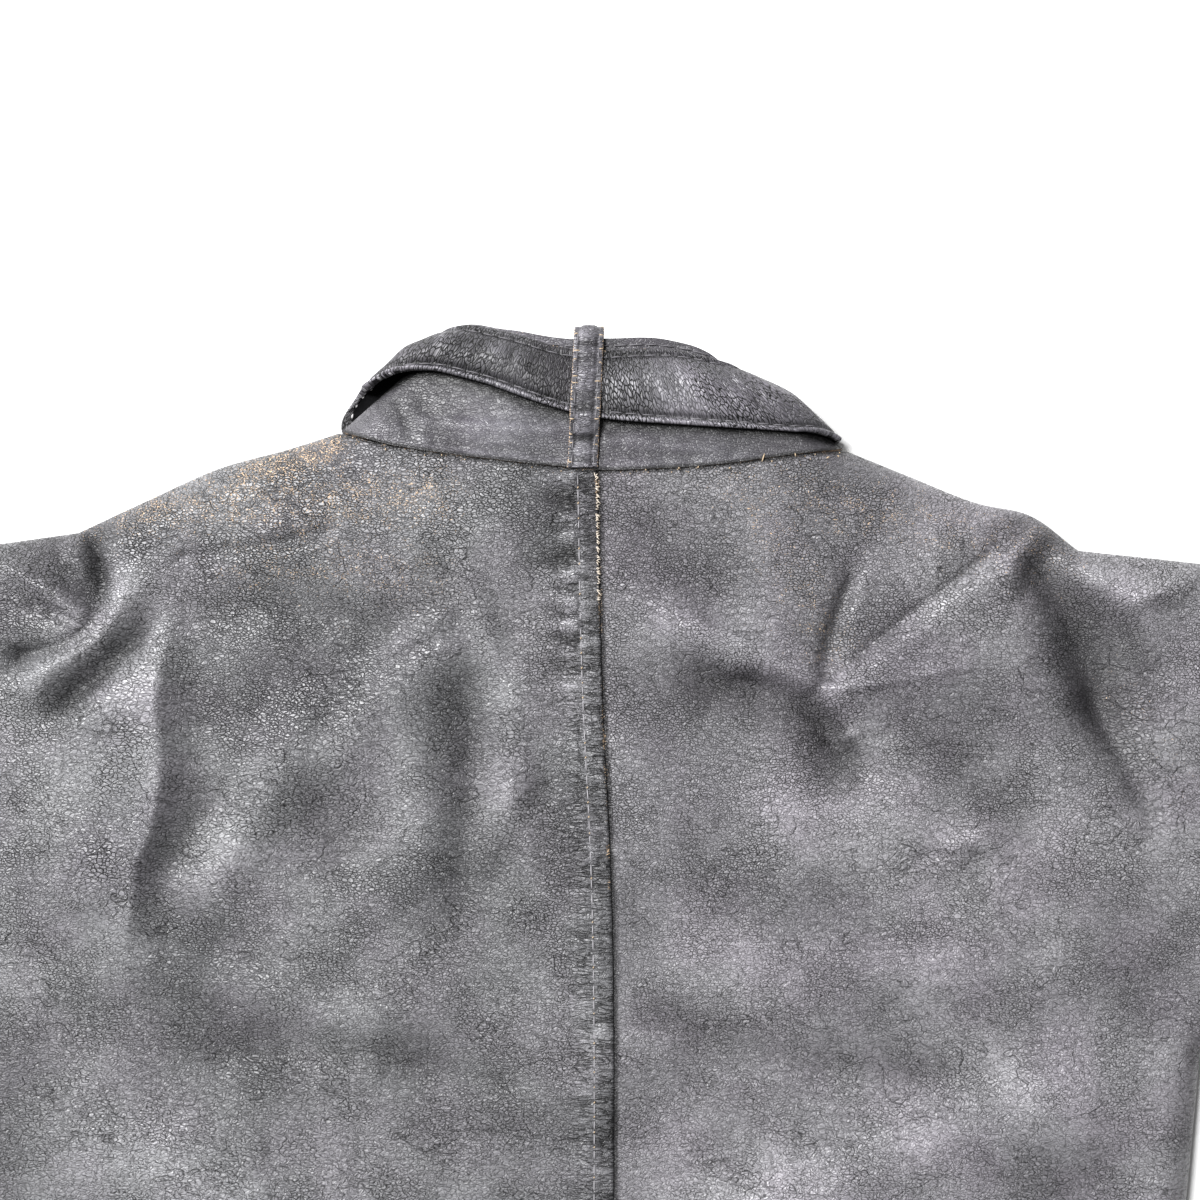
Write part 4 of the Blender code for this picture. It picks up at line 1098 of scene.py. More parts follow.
def collar_edges(turn):
    """Neck seam and free edge of the stand collar at each turn."""
    back = neck_part(BACK_NECK[0].x + COLLAR_INSET, BACK_NECK[-1].x - COLLAR_INSET)
    back = back + np.array((0.0, NECK_GAP))
    middle = np.array((FRONT_CENTRE, 0.0))
    front = middle + (smooth_line(FRONT_NECK) - middle) * (1.0 - COLLAR_INSET / BACK_NECK[-1].x)
    front[0] = back[0]
    front[-1] = back[-1]
    plan = collar_ring(turn, back, front)
    plan[:, 1] += FOLD_GAP * (1.0 - np.abs(np.sin(turn))) ** 2
    beneath = ring_height(turn, 0.0, SEAM_HEIGHT, STAND_FRONT_SEAM)
    on_back = upper_height(plan[:, 0], plan[:, 1] - NECK_GAP, fine=False)
    seam = np.column_stack((plan, np.where(np.sin(turn) > 0.0, on_back, beneath)))
    plan = collar_ring(turn, smooth_line(STAND_TOP_BACK), smooth_line(STAND_TOP_FRONT))
    height = ring_height(turn, STAND_BACK_HEIGHT, STAND_FOLD_HEIGHT, STAND_FRONT_HEIGHT)
    return seam, np.column_stack((plan, height))


def outward_normals(grid):
    """Unit normals of a collar grid, whose rows go round it and whose columns go up it."""
    normal = np.cross(np.gradient(grid, axis=0), np.gradient(grid, axis=1))
    return normal / np.linalg.norm(normal, axis=-1, keepdims=True)


def collar_face(turn, rises):
    """Outer face of the stand collar: straight from the neck seam to the free edge at every turn."""
    seam, free = collar_edges(turn)
    return seam[:, None] + rises[..., None] * (free - seam)[:, None]


def strap_face(turn, part):
    """Outer face of the strap: the collar's face between the strap's edges, moved out by its stand-off.

    The stand-off is along the normal on the back and straight out in plan where the strap goes underneath.
    """
    table = smooth_line(STRAP)
    low, high, off = [np.interp(np.degrees(turn), table[:, 0], table[:, column]) for column in (1, 2, 3)]
    face = collar_face(turn, low[:, None] + (high - low)[:, None] * part)
    normal = outward_normals(face)
    up = face[:, -1, :2] - face[:, 0, :2]
    up = up / np.linalg.norm(up, axis=1, keepdims=True) * np.sign(np.cos(turn))[:, None]
    sideways = np.column_stack((-up[:, 1], up[:, 0], np.zeros(len(turn))))[:, None]
    beneath = np.clip(-STRAP_TURN_UNDER * normal[..., 2:], 0.0, 1.0)
    aside = normal * (1.0 - beneath) + sideways * beneath
    stand_off = off[:, None] * (1.0 - part)
    return face + normal * (COLLAR_LEATHER + SEAM_GAP) + aside * stand_off[..., None]


def collar_turns():
    """Turns round the collar from its front edge: even steps between stops, closest where it shows."""
    stops = np.radians(COLLAR_STOPS)
    stops[0] += FRONT_OPENING
    stops[-1] -= FRONT_OPENING
    parts = [stops[-1:]]
    for start, end, steps in reversed(list(zip(stops[:-1], stops[1:], COLLAR_STEPS))):
        parts.insert(0, np.linspace(start, end, steps, endpoint=False))
    return np.concatenate(parts)


COLLAR_TURN = collar_turns()
COLLAR_TURNS = len(COLLAR_TURN)


def add_stand(materials):
    """Stand collar: a shell with a sewn free edge, soft ripples and creases by its left fold."""
    rises = np.tile(np.linspace(0.0, 1.0, STAND_ROWS), (COLLAR_TURNS, 1))
    face = collar_face(COLLAR_TURN, rises)
    tall = np.linalg.norm(face[:, -1] - face[:, 0], axis=1)[:, None]
    from_top = (1.0 - rises) * tall
    from_seam = rises * tall
    on_back = np.clip(np.sin(COLLAR_TURN), 0.0, 1.0)[:, None]
    x, y = face[..., 0], face[..., 1]
    ridge = fold_relief(x, y, STAND_FOLDS) + ripples(x, y / STAND_RIPPLE_DEPTH, STAND_RIPPLES)
    over = groove(from_top - EDGE_STITCH_IN, *STAND_SEWING) - groove(from_top, *STAND_LIP) + on_back * ridge
    face = face + outward_normals(face) * over[..., None]
    wear = STAND_EDGE_WEAR * np.exp(-from_top / STAND_EDGE_WORN)
    # Painted shadow under the strap's lower edge, a painted highlight on the roll above the neck seam, and
    # painted highlights and shade along the ridges and the seam
    table = smooth_line(STRAP)
    covered = np.interp(np.degrees(COLLAR_TURN), table[:, 0], table[:, 1])[:, None]
    below_strap = np.clip((covered - rises) * tall, 0.0, None)
    shadow = sum(groove(below_strap, *row) for row in STRAP_SHADOW) * (rises < covered + STRAP_SHADOW_TOP)
    roll = groove(from_seam - SEAM_ROLL_IN, *SEAM_ROLL_SHINE) * on_back
    relief = STAND_RIDGE_SHADE * ridge + shadow - roll + groove(from_seam, *SEAM_SHADE)
    add_shell("collar_stand", face, COLLAR_LEATHER, materials, wear, True, relief)
    return face


def beside_keeper(points):
    """How far each point lies to the right of the keeper's middle line."""
    return points[..., 0] - KEEPER_FOOT_X - KEEPER_LEAN * points[..., 1]


def spot(x, place):
    """Amount of a shine round its middle along X."""
    return place.amount * bell(x - place.middle, place.reach)


def closed_faces(rows, columns, flip=False):
    """Faces of a closed section carried along rows, with a face on each end."""
    turn = -1 if flip else 1
    faces = grid_faces(rows, columns, loop_columns=True)[:, ::turn].tolist()
    faces.append(list(range(columns))[::-turn])
    faces.append(list(range((rows - 1) * columns, rows * columns))[::turn])
    return faces


def add_strap(materials):
    """Puffed strap: a closed section round the collar, with turned edges, sewn grooves and cross wrinkles."""
    outer = strap_face(COLLAR_TURN, np.tile(STRAP_OUTER, (COLLAR_TURNS, 1)))
    tall = np.linalg.norm(outer[:, -1] - outer[:, 0], axis=1)[:, None]
    from_edge = np.minimum(STRAP_OUTER, 1.0 - STRAP_OUTER)[None] * tall
    inward = np.clip((from_edge - EDGE_STITCH_IN) / (tall / 2 - EDGE_STITCH_IN), 0.0, 1.0)
    shown = len(STRAP_OUTER)
    run = lengths(outer[:, shown // 2])[:, None] * np.ones((1, shown))
    height = STRAP_OUTER[None] * tall
    gather = 0.0
    for row in STRAP_GATHERS:
        gather = gather + row.amount * uneven(run, height / row.tallness, row.spacing, row.seed)
    over = EDGE_ROLL * rounded(from_edge, STRAP_EDGE_ROUND)
    over = over + groove(from_edge - EDGE_STITCH_IN, *STRAP_SEWING)
    over = over + STRAP_PUFF * np.sin(np.pi / 2 * inward) ** STRAP_FULLNESS + gather * inward
    over = over * np.clip(STRAP_PUFF_AT_FOLD + STRAP_PUFF_GAIN * np.sin(COLLAR_TURN), 0.0, 1.0)[:, None]
    on_back = (np.sin(COLLAR_TURN) > 0.0)[:, None]
    over = over + np.clip(over, 0.0, None) * groove(beside_keeper(outer), *STRAP_PINCH) * on_back
    normal = outward_normals(outer)
    face = outer + normal * over[..., None]

    inner = strap_face(COLLAR_TURN, np.tile(STRAP_INNER[::-1], (COLLAR_TURNS, 1)))
    inner_normal = -outward_normals(inner)[:, ::-1]
    at_end = bell(np.degrees(COLLAR_TURN) - HEM_MIDDLE, HEM_REACH)[:, None]
    hem = np.clip(1.0 - STRAP_INNER / STRAP_INNER[HEM_COLUMN], 0.0, 1.0)
    ribs = uneven(run[:, :1], np.zeros((COLLAR_TURNS, 1)), STRAP_RIB_SPACING, SEEDS["strap ribs"])
    hem_rise = at_end * np.sin(np.pi * hem) ** STRAP_HEM_FULLNESS * (STRAP_HEM_RISE + STRAP_RIB_RISE * ribs)
    inner = inner[:, ::-1] + inner_normal * (COLLAR_LEATHER + hem_rise)[..., None]
    ring = np.concatenate((face, inner), axis=1)
    rows, columns = ring.shape[:2]
    faces = closed_faces(rows, columns, flip=True)

    lay = np.zeros(ring.shape)
    lay[..., 0] = run[:, :1]
    lay[:, :shown, 1] = height
    lay[:, shown:, 1] = STRAP_INNER[None] * tall
    lay[:, shown:, 2] = STRAP_PATTERN_SHIFT
    upper_half = STRAP_OUTER > 0.5
    wear = np.zeros(ring.shape[:2])
    wear[:, :shown] = STRAP_EDGE_WEAR * bell(from_edge, STRAP_EDGE_WORN) * upper_half
    # Painted light on the strap: shade over its left part, beside the keeper, in the stitch groove, across
    # the gathers and on the inner face; highlights on the puff and on the lower roll
    relief = -STRAP_LEFT_SHADE * np.clip((STRAP_LEFT_OF - ring[..., 0]) / STRAP_LEFT_FADE, 0.0, 1.0)
    shine = spot(outer[..., 0], STRAP_RIGHT_SHINE) * np.sin(np.pi * STRAP_OUTER)
    shine = shine + spot(outer[..., 0], STRAP_LEFT_SHINE) * STRAP_OUTER
    shine = (shine + groove(beside_keeper(outer), *BESIDE_KEEPER_SHADE)) * on_back
    rolled = groove(from_edge - STRAP_ROLL_IN, *STRAP_ROLL_SHINE) * ~upper_half
    sunk = groove(from_edge - STRAP_STITCH_SHADE_IN, *STRAP_STITCH_SHADE)
    relief[:, :shown] += STRAP_GATHER_SHADE * gather * inward - rolled + sunk + shine
    relief[:, shown:] += STRAP_RIB_SHADE * ribs - STRAP_INNER_SHADE
    creased = spot(ring[..., 0], STRAP_CREASED) + STRAP_LEAST_CREASED
    attributes = {"wear": wear.ravel(), "lay": lay.reshape(-1, 3) * MM}
    attributes.update(relief=relief.ravel(), creased=creased.ravel())
    piece = add_mesh("collar_strap_leather", ring.reshape(-1, 3), faces, materials, attributes)
    # The inner face above the hem takes the near-black lining, as painted shade
    inside = np.zeros(len(faces), int)
    column = np.arange(columns) - shown
    inside[:(rows - 1) * columns] = np.tile((column >= 0) & (column < HEM_COLUMN), rows - 1)
    piece.data.polygons.foreach_set("material_index", inside)
    dress("collar_strap")
    return SewnStrap(face, normal, tall, inner[:, HEM_COLUMN], inner_normal[:, HEM_COLUMN])


def keeper_path():
    """Middle line of the keeper over the centre back and its unit normals."""
    centre = np.full(len(KEEPER), np.pi / 2)
    seam, free = collar_edges(centre)
    rise, out = np.array(KEEPER).T
    up = free[0] - seam[0]
    lift = np.array((0.0, -up[2], up[1])) / np.hypot(up[1], up[2])
    middle = seam + rise[:, None] * (free - seam) + out[:, None] * lift
    middle = along(smooth_line(middle), np.linspace(0.0, 1.0, KEEPER_ROWS))
    middle[:, 0] = KEEPER_FOOT_X + KEEPER_LEAN * middle[:, 1]
    tangent = np.gradient(middle, axis=0)
    normal = np.stack((np.zeros(KEEPER_ROWS), -tangent[:, 2], tangent[:, 1]), axis=1)
    return middle, normal / np.linalg.norm(normal, axis=1, keepdims=True)


def add_keeper(materials):
    """Keeper loop: a closed arched section along its path, with raw edges, sewn grooves and cross puckers."""
    middle, normal = keeper_path()
    run = lengths(middle)
    half = KEEPER_WIDTH / 2
    aside = KEEPER_ACROSS * half
    shown = len(aside)
    wide = aside[None] * (1.0 + ripples(run, run, (KEEPER_UNEVEN,))[:, None])
    from_edge = half - np.abs(aside)[None]
    along_run = run[:, None] * np.ones((1, shown))
    pucker = uneven(along_run, wide / KEEPER_GATHER.tallness, KEEPER_GATHER.spacing, KEEPER_GATHER.seed)
    pucker = pucker * (from_edge > KEEPER_GATHER_IN)
    relief = groove(from_edge - KEEPER_STITCH_IN, *KEEPER_SEWING) + KEEPER_GATHER.amount * pucker
    relief = relief - groove(from_edge, *KEEPER_LIP)
    relief = relief - KEEPER_EDGE_DROP * (1.0 - rounded(from_edge, KEEPER_EDGE_ROUND))
    arch = -KEEPER_ARCH * KEEPER_ACROSS[None] ** 2
    over = COLLAR_LEATHER / 2 + relief + arch
    across = np.array((1.0, 0.0, 0.0))
    top = middle[:, None] + wide[..., None] * across + over[..., None] * normal[:, None]
    under = (arch - COLLAR_LEATHER / 2)[:, ::-KEEPER_UNDER_STEP]
    wide_under = wide[:, ::-KEEPER_UNDER_STEP, None]
    below = middle[:, None] + wide_under * across + under[..., None] * normal[:, None]
    ring = np.concatenate((top, below), axis=1)
    wear = np.zeros(ring.shape[:2])
    wear[:, :shown] = KEEPER_EDGE_WEAR * bell(from_edge, KEEPER_EDGE_WORN)
    lay = np.zeros(ring.shape)
    lay[..., 0] = run[:, None]
    lay[:, :shown, 1] = wide
    up = run[:, None] / run[-1]
    # Painted shade and painted highlights on the keeper: its puckers, strongest at the foot, and darker
    # towards the foot
    painted_keeper_shade = np.zeros(ring.shape[:2])
    pucker_shade = np.interp(up, (0.0, 1.0), KEEPER_PUCKER_SHADES)
    painted_keeper_shade[:, :shown] = pucker * pucker_shade + np.interp(up, (0.0, 1.0), KEEPER_SHADES)
    attributes = {"wear": wear.ravel(), "lay": lay.reshape(-1, 3) * MM, "relief": painted_keeper_shade.ravel()}
    faces = closed_faces(*ring.shape[:2])
    piece = add_mesh("keeper_loop_leather", ring.reshape(-1, 3), faces, materials, attributes)
    dress("keeper_loop")
    return normal, top


def add_stitches(name, starts, ends, normals, thickness, material):
    """Row of stitches: short many-sided threads from start to end points, arched out of the leather."""
    normals = np.broadcast_to(normals, starts.shape)
    share = np.linspace(0.0, 1.0, THREAD_ROWS)[None, :, None]
    arch = np.sin(np.pi * share) * THREAD_ARCH - THREAD_SUNK
    path = starts[:, None] * (1 - share) + ends[:, None] * share + normals[:, None] * arch * thickness
    ahead = (ends - starts) / np.linalg.norm(ends - starts, axis=1, keepdims=True)
    across = np.cross(ahead, normals)
    angle = np.linspace(0.0, 2 * np.pi, THREAD_SIDES, endpoint=False)
    plump = (THREAD_END + (1.0 - THREAD_END) * np.sin(np.pi * share)) * thickness / 2
    ring = across[:, None, None] * np.cos(angle)[None, None, :, None]
    ring = ring + normals[:, None, None] * np.sin(angle)[None, None, :, None]
    points = path[:, :, None] + plump[..., None] * ring
    body = grid_faces(THREAD_ROWS, THREAD_SIDES, loop_columns=True)[:, ::-1]
    corners = THREAD_ROWS * THREAD_SIDES
    first = np.arange(len(starts))[:, None, None] * corners
    faces = (body[None] + first).reshape(-1, 4).tolist()
    caps = np.stack((np.arange(THREAD_SIDES), corners - 1 - np.arange(THREAD_SIDES)))
    faces += (caps[None] + first).reshape(-1, THREAD_SIDES).tolist()
    piece = add_mesh(name, points.reshape(-1, 3), faces, [material])


def stitch_places(line, pitch, share, seed):
    """Start and end points of stitches along a line, with a little unevenness in their lengths."""
    total = lengths(line)[-1]
    count = int(total / pitch)
    draw = np.random.default_rng(seed)
    shift = draw.uniform(0.0, STITCH_JITTER * (1 - share), count)
    start = (np.arange(count) + STITCH_START + shift) * pitch
    end = start + pitch * share * draw.uniform(1.0 - STITCH_JITTER, 1.0, count)
    return along(line, start / total), along(line, end / total)


def sew_back(thread, worn, tan, frayed):
    """Centre back stitches, tan dots where the needle went in, frayed bits of the lap, and hem stitches."""
    y = np.linspace(SEAM_STITCHES_FROM, SEAM_STITCHES_TO, CURVE_POINTS * 3)
    x = np.interp(y, SEAM_LINE[:, 1], SEAM_LINE[:, 0]) - SEAM_STITCH_IN
    line = np.column_stack((x, y, left_back_height(x, y) + STITCH_LIFT))
    starts, ends = stitch_places(line, STITCH_PITCH, SEAM_STITCH_SHARE, SEEDS["centre stitches"])
    add_stitches("centre_back_stitches", starts, ends, UPRIGHT, THREAD, worn)
    gap = (ends[:-1] + starts[1:]) / 2
    draw = np.random.default_rng(SEEDS["needle holes"])
    gap = gap[draw.uniform(0.0, 1.0, len(gap)) < NEEDLE_HOLES_SHOWN]
    dot = np.array(NEEDLE_HOLE_HALF)
    add_stitches("centre_back_needle_holes", gap - dot, gap + dot, UPRIGHT, NEEDLE_HOLE, tan)

    draw = np.random.default_rng(SEEDS["frayed bits"])
    y = FRAYED_FROM - np.cumsum(draw.exponential(FRAYED_STEP, FRAYED_BITS))
    x = np.interp(y, SEAM_LINE[:, 1], SEAM_LINE[:, 0])
    x[0] -= FRAYED_TOP_IN
    bed = left_back_height(x - FRAYED_BED, y) - FRAYED_SUNK
    starts = np.column_stack((x - draw.uniform(*FRAYED_IN, len(x)), y, bed))
    slip = np.full(starts.shape, FRAYED_DOWN)
    slip[:, 0] = draw.uniform(*FRAYED_OUT, len(x))
    slip[:, 1] = draw.uniform(*FRAYED_ALONG, len(x))
    slip[0] = FRAYED_TOP
    add_stitches("lap_frayed_bits", starts, starts + slip, UPRIGHT, FRAYED_THICKNESS, frayed)

    for side, sign in (("left", -1), ("right", 1)):
        x = np.linspace(sign * HEM_STITCHES_FROM + FRONT_CENTRE, sign * HEM_STITCHES_TO, CURVE_POINTS * 2)
        y = np.full(x.shape, HEM_STITCH_IN - BACK_LENGTH)
        height = left_back_height if sign < 0 else right_back_height
        line = np.column_stack((x, y, height(x, y) + STITCH_LIFT))
        if sign > 0:
            line = line[lap_distance(x, y) < -CLEAR_OF_LAP]
        starts, ends = stitch_places(line, HEM_PITCH, HEM_STITCH_SHARE, SEEDS["hem stitches"])
        add_stitches(f"hem_stitches_{side}", starts, ends, UPRIGHT, THREAD, thread)


def sew_neck(tan):
    """Tan ends of thread that show here and there along the neck seam."""
    draw = np.random.default_rng(SEEDS["neck threads"])
    x = draw.uniform(*NECK_THREADS_ALONG, NECK_THREADS)
    x = x[(x < NECK_THREADS_CLEAR[0]) | (x > NECK_THREADS_CLEAR[1])]
    y = neck_line_y(x) - draw.uniform(*NECK_THREADS_BELOW, len(x))
    starts = np.column_stack((x, y, left_back_height(x, y) + NECK_THREAD_LIFT))
    turn = draw.uniform(0.0, NECK_THREAD_TURN, len(x))
    size = NECK_THREAD_LEAST + draw.exponential(NECK_THREAD_MORE, len(x))
    across = np.cos(turn) * size * NECK_THREAD_ACROSS
    ends = starts + np.column_stack((across, np.sin(turn) * size, np.zeros(len(x))))
    add_stitches("neck_seam_threads", starts, ends, UPRIGHT, NECK_THREAD_THICKNESS, tan)


def sew_collar(stand, strap, keeper, thread, tan, pale):
    """Stitch rows of the stand's free edge, the strap's edges and left hem, and the keeper with its bars."""
    tall = np.linalg.norm(stand[:, -1] - stand[:, 0], axis=1)
    share = EDGE_STITCH_IN / tall
    normals = outward_normals(stand)[:, -3]
    row = stand[:, -1] * (1 - share[:, None]) + stand[:, 0] * share[:, None]
    row = row + normals * COLLAR_STITCH_LIFT
    add_row("stand_stitches", row, normals, STRAP_PITCH, thread, SEEDS["stand stitches"])
    part = STRAP_OUTER
    inward = EDGE_STITCH_IN / strap.tall[:, 0]
    for edge, at in (("lower", inward), ("upper", 1.0 - inward)):
        column = np.clip(np.searchsorted(part, at), 1, len(part) - 1)
        pick = np.arange(len(column))
        low, high = part[column - 1], part[column]
        mix = ((at - low) / (high - low))[:, None]
        row = strap.face[pick, column - 1] * (1 - mix) + strap.face[pick, column] * mix
        normals = strap.normal[pick, column]
        row = row + normals * COLLAR_STITCH_LIFT
        add_row(f"strap_{edge}_stitches", row, normals, STRAP_PITCH, thread, SEEDS[f"{edge} stitches"])
    left_end = (COLLAR_TURN > np.radians(HEM_TURNS[0])) & (COLLAR_TURN < np.radians(HEM_TURNS[1]))
    row, normals = strap.hem[left_end], strap.hem_normal[left_end]
    seed = SEEDS["strap hem stitches"]
    size = (STRAP_HEM_STITCH_SHARE, STRAP_HEM_THREAD)
    add_row("strap_hem_stitches", row, normals, HEM_STITCH_PITCH, pale, seed, *size)
    normal, top = keeper
    first, last, step = KEEPER_BAR_ROWS
    for side, across in (("left", top), ("right", top[:, ::-1])):
        column = KEEPER_STITCH_COLUMN if side == "left" else top.shape[1] - 1 - KEEPER_STITCH_COLUMN
        row, normals = top[:KEEPER_SEWN_ROWS, column], normal[:KEEPER_SEWN_ROWS]
        add_row(f"keeper_{side}_stitches", row, normals, KEEPER_PITCH, thread, SEEDS["keeper stitches"])
        draw = np.random.default_rng(SEEDS["keeper bars"] + column)
        places = np.arange(first, last, step) + (step // 2 if side == "right" else 0)
        places = places + draw.integers(-KEEPER_BAR_SHIFT, KEEPER_BAR_SHIFT + 1, len(places))
        reach = draw.uniform(*KEEPER_BAR_REACHES, len(places))[:, None]
        edge, inner = [
            across[places, place] + normal[places] * lift
            for place, lift in zip(KEEPER_BAR_COLUMNS, KEEPER_BAR_LIFTS)
        ]
        ends = edge * (1.0 - reach) + inner * reach
        add_stitches(f"keeper_{side}_bars", edge, ends, normal[places], KEEPER_BAR, tan)


def add_row(name, line, normals, pitch, thread, seed, share=COLLAR_STITCH_SHARE, thickness=THREAD):
    """Stitches along a line that follows a curved face, each on the normal of its place."""
    starts, ends = stitch_places(line, pitch, share, seed)
    middle = (starts + ends) / 2
    nearest = np.argmin(np.linalg.norm(middle[:, None] - line[None], axis=2), axis=1)
    add_stitches(name, starts, ends, normals[nearest], thickness, thread)


def plan_box(node):
    """Lowest and highest corner of a solid, in plan millimetres from the neck point."""
    return [np.array(corner) / MM - np.array((0.0, NECK_Y, 0.0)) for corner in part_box(node)]


def add_slider(metal):
    """Zip slider and its pull, both with a superellipse for a section.

    The body carries it along Y, wide at the mouth, narrow at the tail and drawn in at both ends. The pull is
    a flat ring on the outer face of the zip: the section carried round an oval.
    """
    low, high = plan_box("zip_slider")
    middle = (low + high) / 2
    size = high - low
    angle = np.linspace(0.0, 2 * np.pi, SLIDER_SIDES, endpoint=False)
    aside = np.sign(np.cos(angle)) * np.abs(np.cos(angle)) ** SLIDER_SQUARENESS
    above = np.sign(np.sin(angle)) * np.abs(np.sin(angle)) ** SLIDER_SQUARENESS
    share = (1.0 - np.cos(np.linspace(0.0, np.pi, SLIDER_ROWS))) / 2
    from_end = np.minimum(share, 1.0 - share) * size[1]
    drawn_in = SLIDER_DRAWN_IN + (1.0 - SLIDER_DRAWN_IN) * rounded(from_end, SLIDER_END)
    widening = np.interp(share, SLIDER_WIDENS, (0.0, 1.0))
    half = size[0] / 2 * (SLIDER_TAIL + (1.0 - SLIDER_TAIL) * widening**2 * (3 - 2 * widening)) * drawn_in
    thick = (size[2] - PULL_THICKNESS) / 2
    body = np.empty((SLIDER_ROWS, SLIDER_SIDES, 3))
    body[..., 0] = middle[0] + half[:, None] * aside
    body[..., 1] = (low[1] + share * size[1])[:, None]
    body[..., 2] = high[2] - thick + thick * drawn_in[:, None] * above
    faces = closed_faces(SLIDER_ROWS, SLIDER_SIDES, flip=True)
    turn = np.linspace(0.0, 2 * np.pi, PULL_STEPS, endpoint=False)[:, None]
    pull = np.empty((PULL_STEPS, SLIDER_SIDES, 3))
    pull[..., 0] = middle[0] + np.cos(turn) * (PULL_REACH.x + PULL_BAR / 2 * aside)
    pull[..., 1] = middle[1] + np.sin(turn) * (PULL_REACH.y + PULL_BAR / 2 * aside)
    pull[..., 2] = low[2] + PULL_THICKNESS / 2 * (1.0 + above)
    ring = grid_faces(PULL_STEPS, SLIDER_SIDES, loop_rows=True, loop_columns=True)[:, ::-1]
    faces += (ring + SLIDER_ROWS * SLIDER_SIDES).tolist()
    points = np.concatenate((body.reshape(-1, 3), pull.reshape(-1, 3)))
    slider = add_mesh("zip_slider_and_pull", points, faces, [metal])
    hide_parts("zip_slider")


def dress_zip():
    """Zip under the jacket: two rows of staggered teeth, the slider with its pull, and the tapes' finish."""
    metal = metal_material()
    woven = tape_material()
    for node in ("zip_tape_left", "zip_tape_right"):
        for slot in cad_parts[node].material_slots:
            slot.material = woven
    add_slider(metal)
    low, high = plan_box("zip_chain")
    middle = (low[0] + high[0]) / 2
    y = np.arange(low[1] + TOOTH_PITCH, high[1] - TOOTH_PITCH, TOOTH_PITCH)
    sign = np.where(np.arange(len(y)) % 2 == 0, -1.0, 1.0)
    root = middle + sign * (high[0] - middle)
    tip = middle - sign * TOOTH_OVERLAP
    corners = []
    for across, half in ((root, TOOTH_LENGTH / 2 * TOOTH_ROOT), (tip, TOOTH_LENGTH / 2)):
        for upward in (low[2], high[2]):
            for ahead in (-half, half):
                corners.append(np.column_stack((across, y + ahead * sign, np.full(len(y), upward))))
    points = np.stack(corners, axis=1).reshape(-1, 3)
    first = len(corners) * np.arange(len(y))[:, None, None]
    faces = (np.array(TOOTH_FACES)[None] + first).reshape(-1, 4)
    teeth = add_mesh("zip_teeth", points, faces, [metal])
    teeth.data.polygons.foreach_set("use_smooth", np.zeros(len(faces), bool))
    bevel = teeth.modifiers.new("rounded", "BEVEL")
    bevel.width = TOOTH_BEVEL * MM
    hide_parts("zip_chain")


def scale_for(size):
    """Texture scale that gives a pattern a size in millimetres."""
    return 1.0 / (size * MM)


def plug(tree, node, inputs):
    """Fills a node's sockets, given in order or by name, with values or with other nodes' outputs."""
    sockets = inputs if isinstance(inputs, dict) else dict(enumerate(inputs))
    for socket, value in sockets.items():
        if isinstance(value, bpy.types.NodeSocket):
            tree.links.new(value, node.inputs[socket])
        else:
            node.inputs[socket].default_value = value


def add_node(tree, kind, inputs=(), output=0, **settings):
    """Adds a shader node with its inputs, sets its properties and returns one of its outputs."""
    node = tree.nodes.new(f"ShaderNode{kind}")
    for key, value in settings.items():
        setattr(node, key, value)
    plug(tree, node, inputs)
    return node.outputs[output]


def new_material(name):
    """Empty material, and the function that adds nodes to it."""
    material = bpy.data.materials.new(name)
    material.use_nodes = True
    return material, partial(add_node, material.node_tree)


def finished(material, inputs):
    """Material whose shader has the given inputs."""
    plug(material.node_tree, material.node_tree.nodes["Principled BSDF"], inputs)
    return material


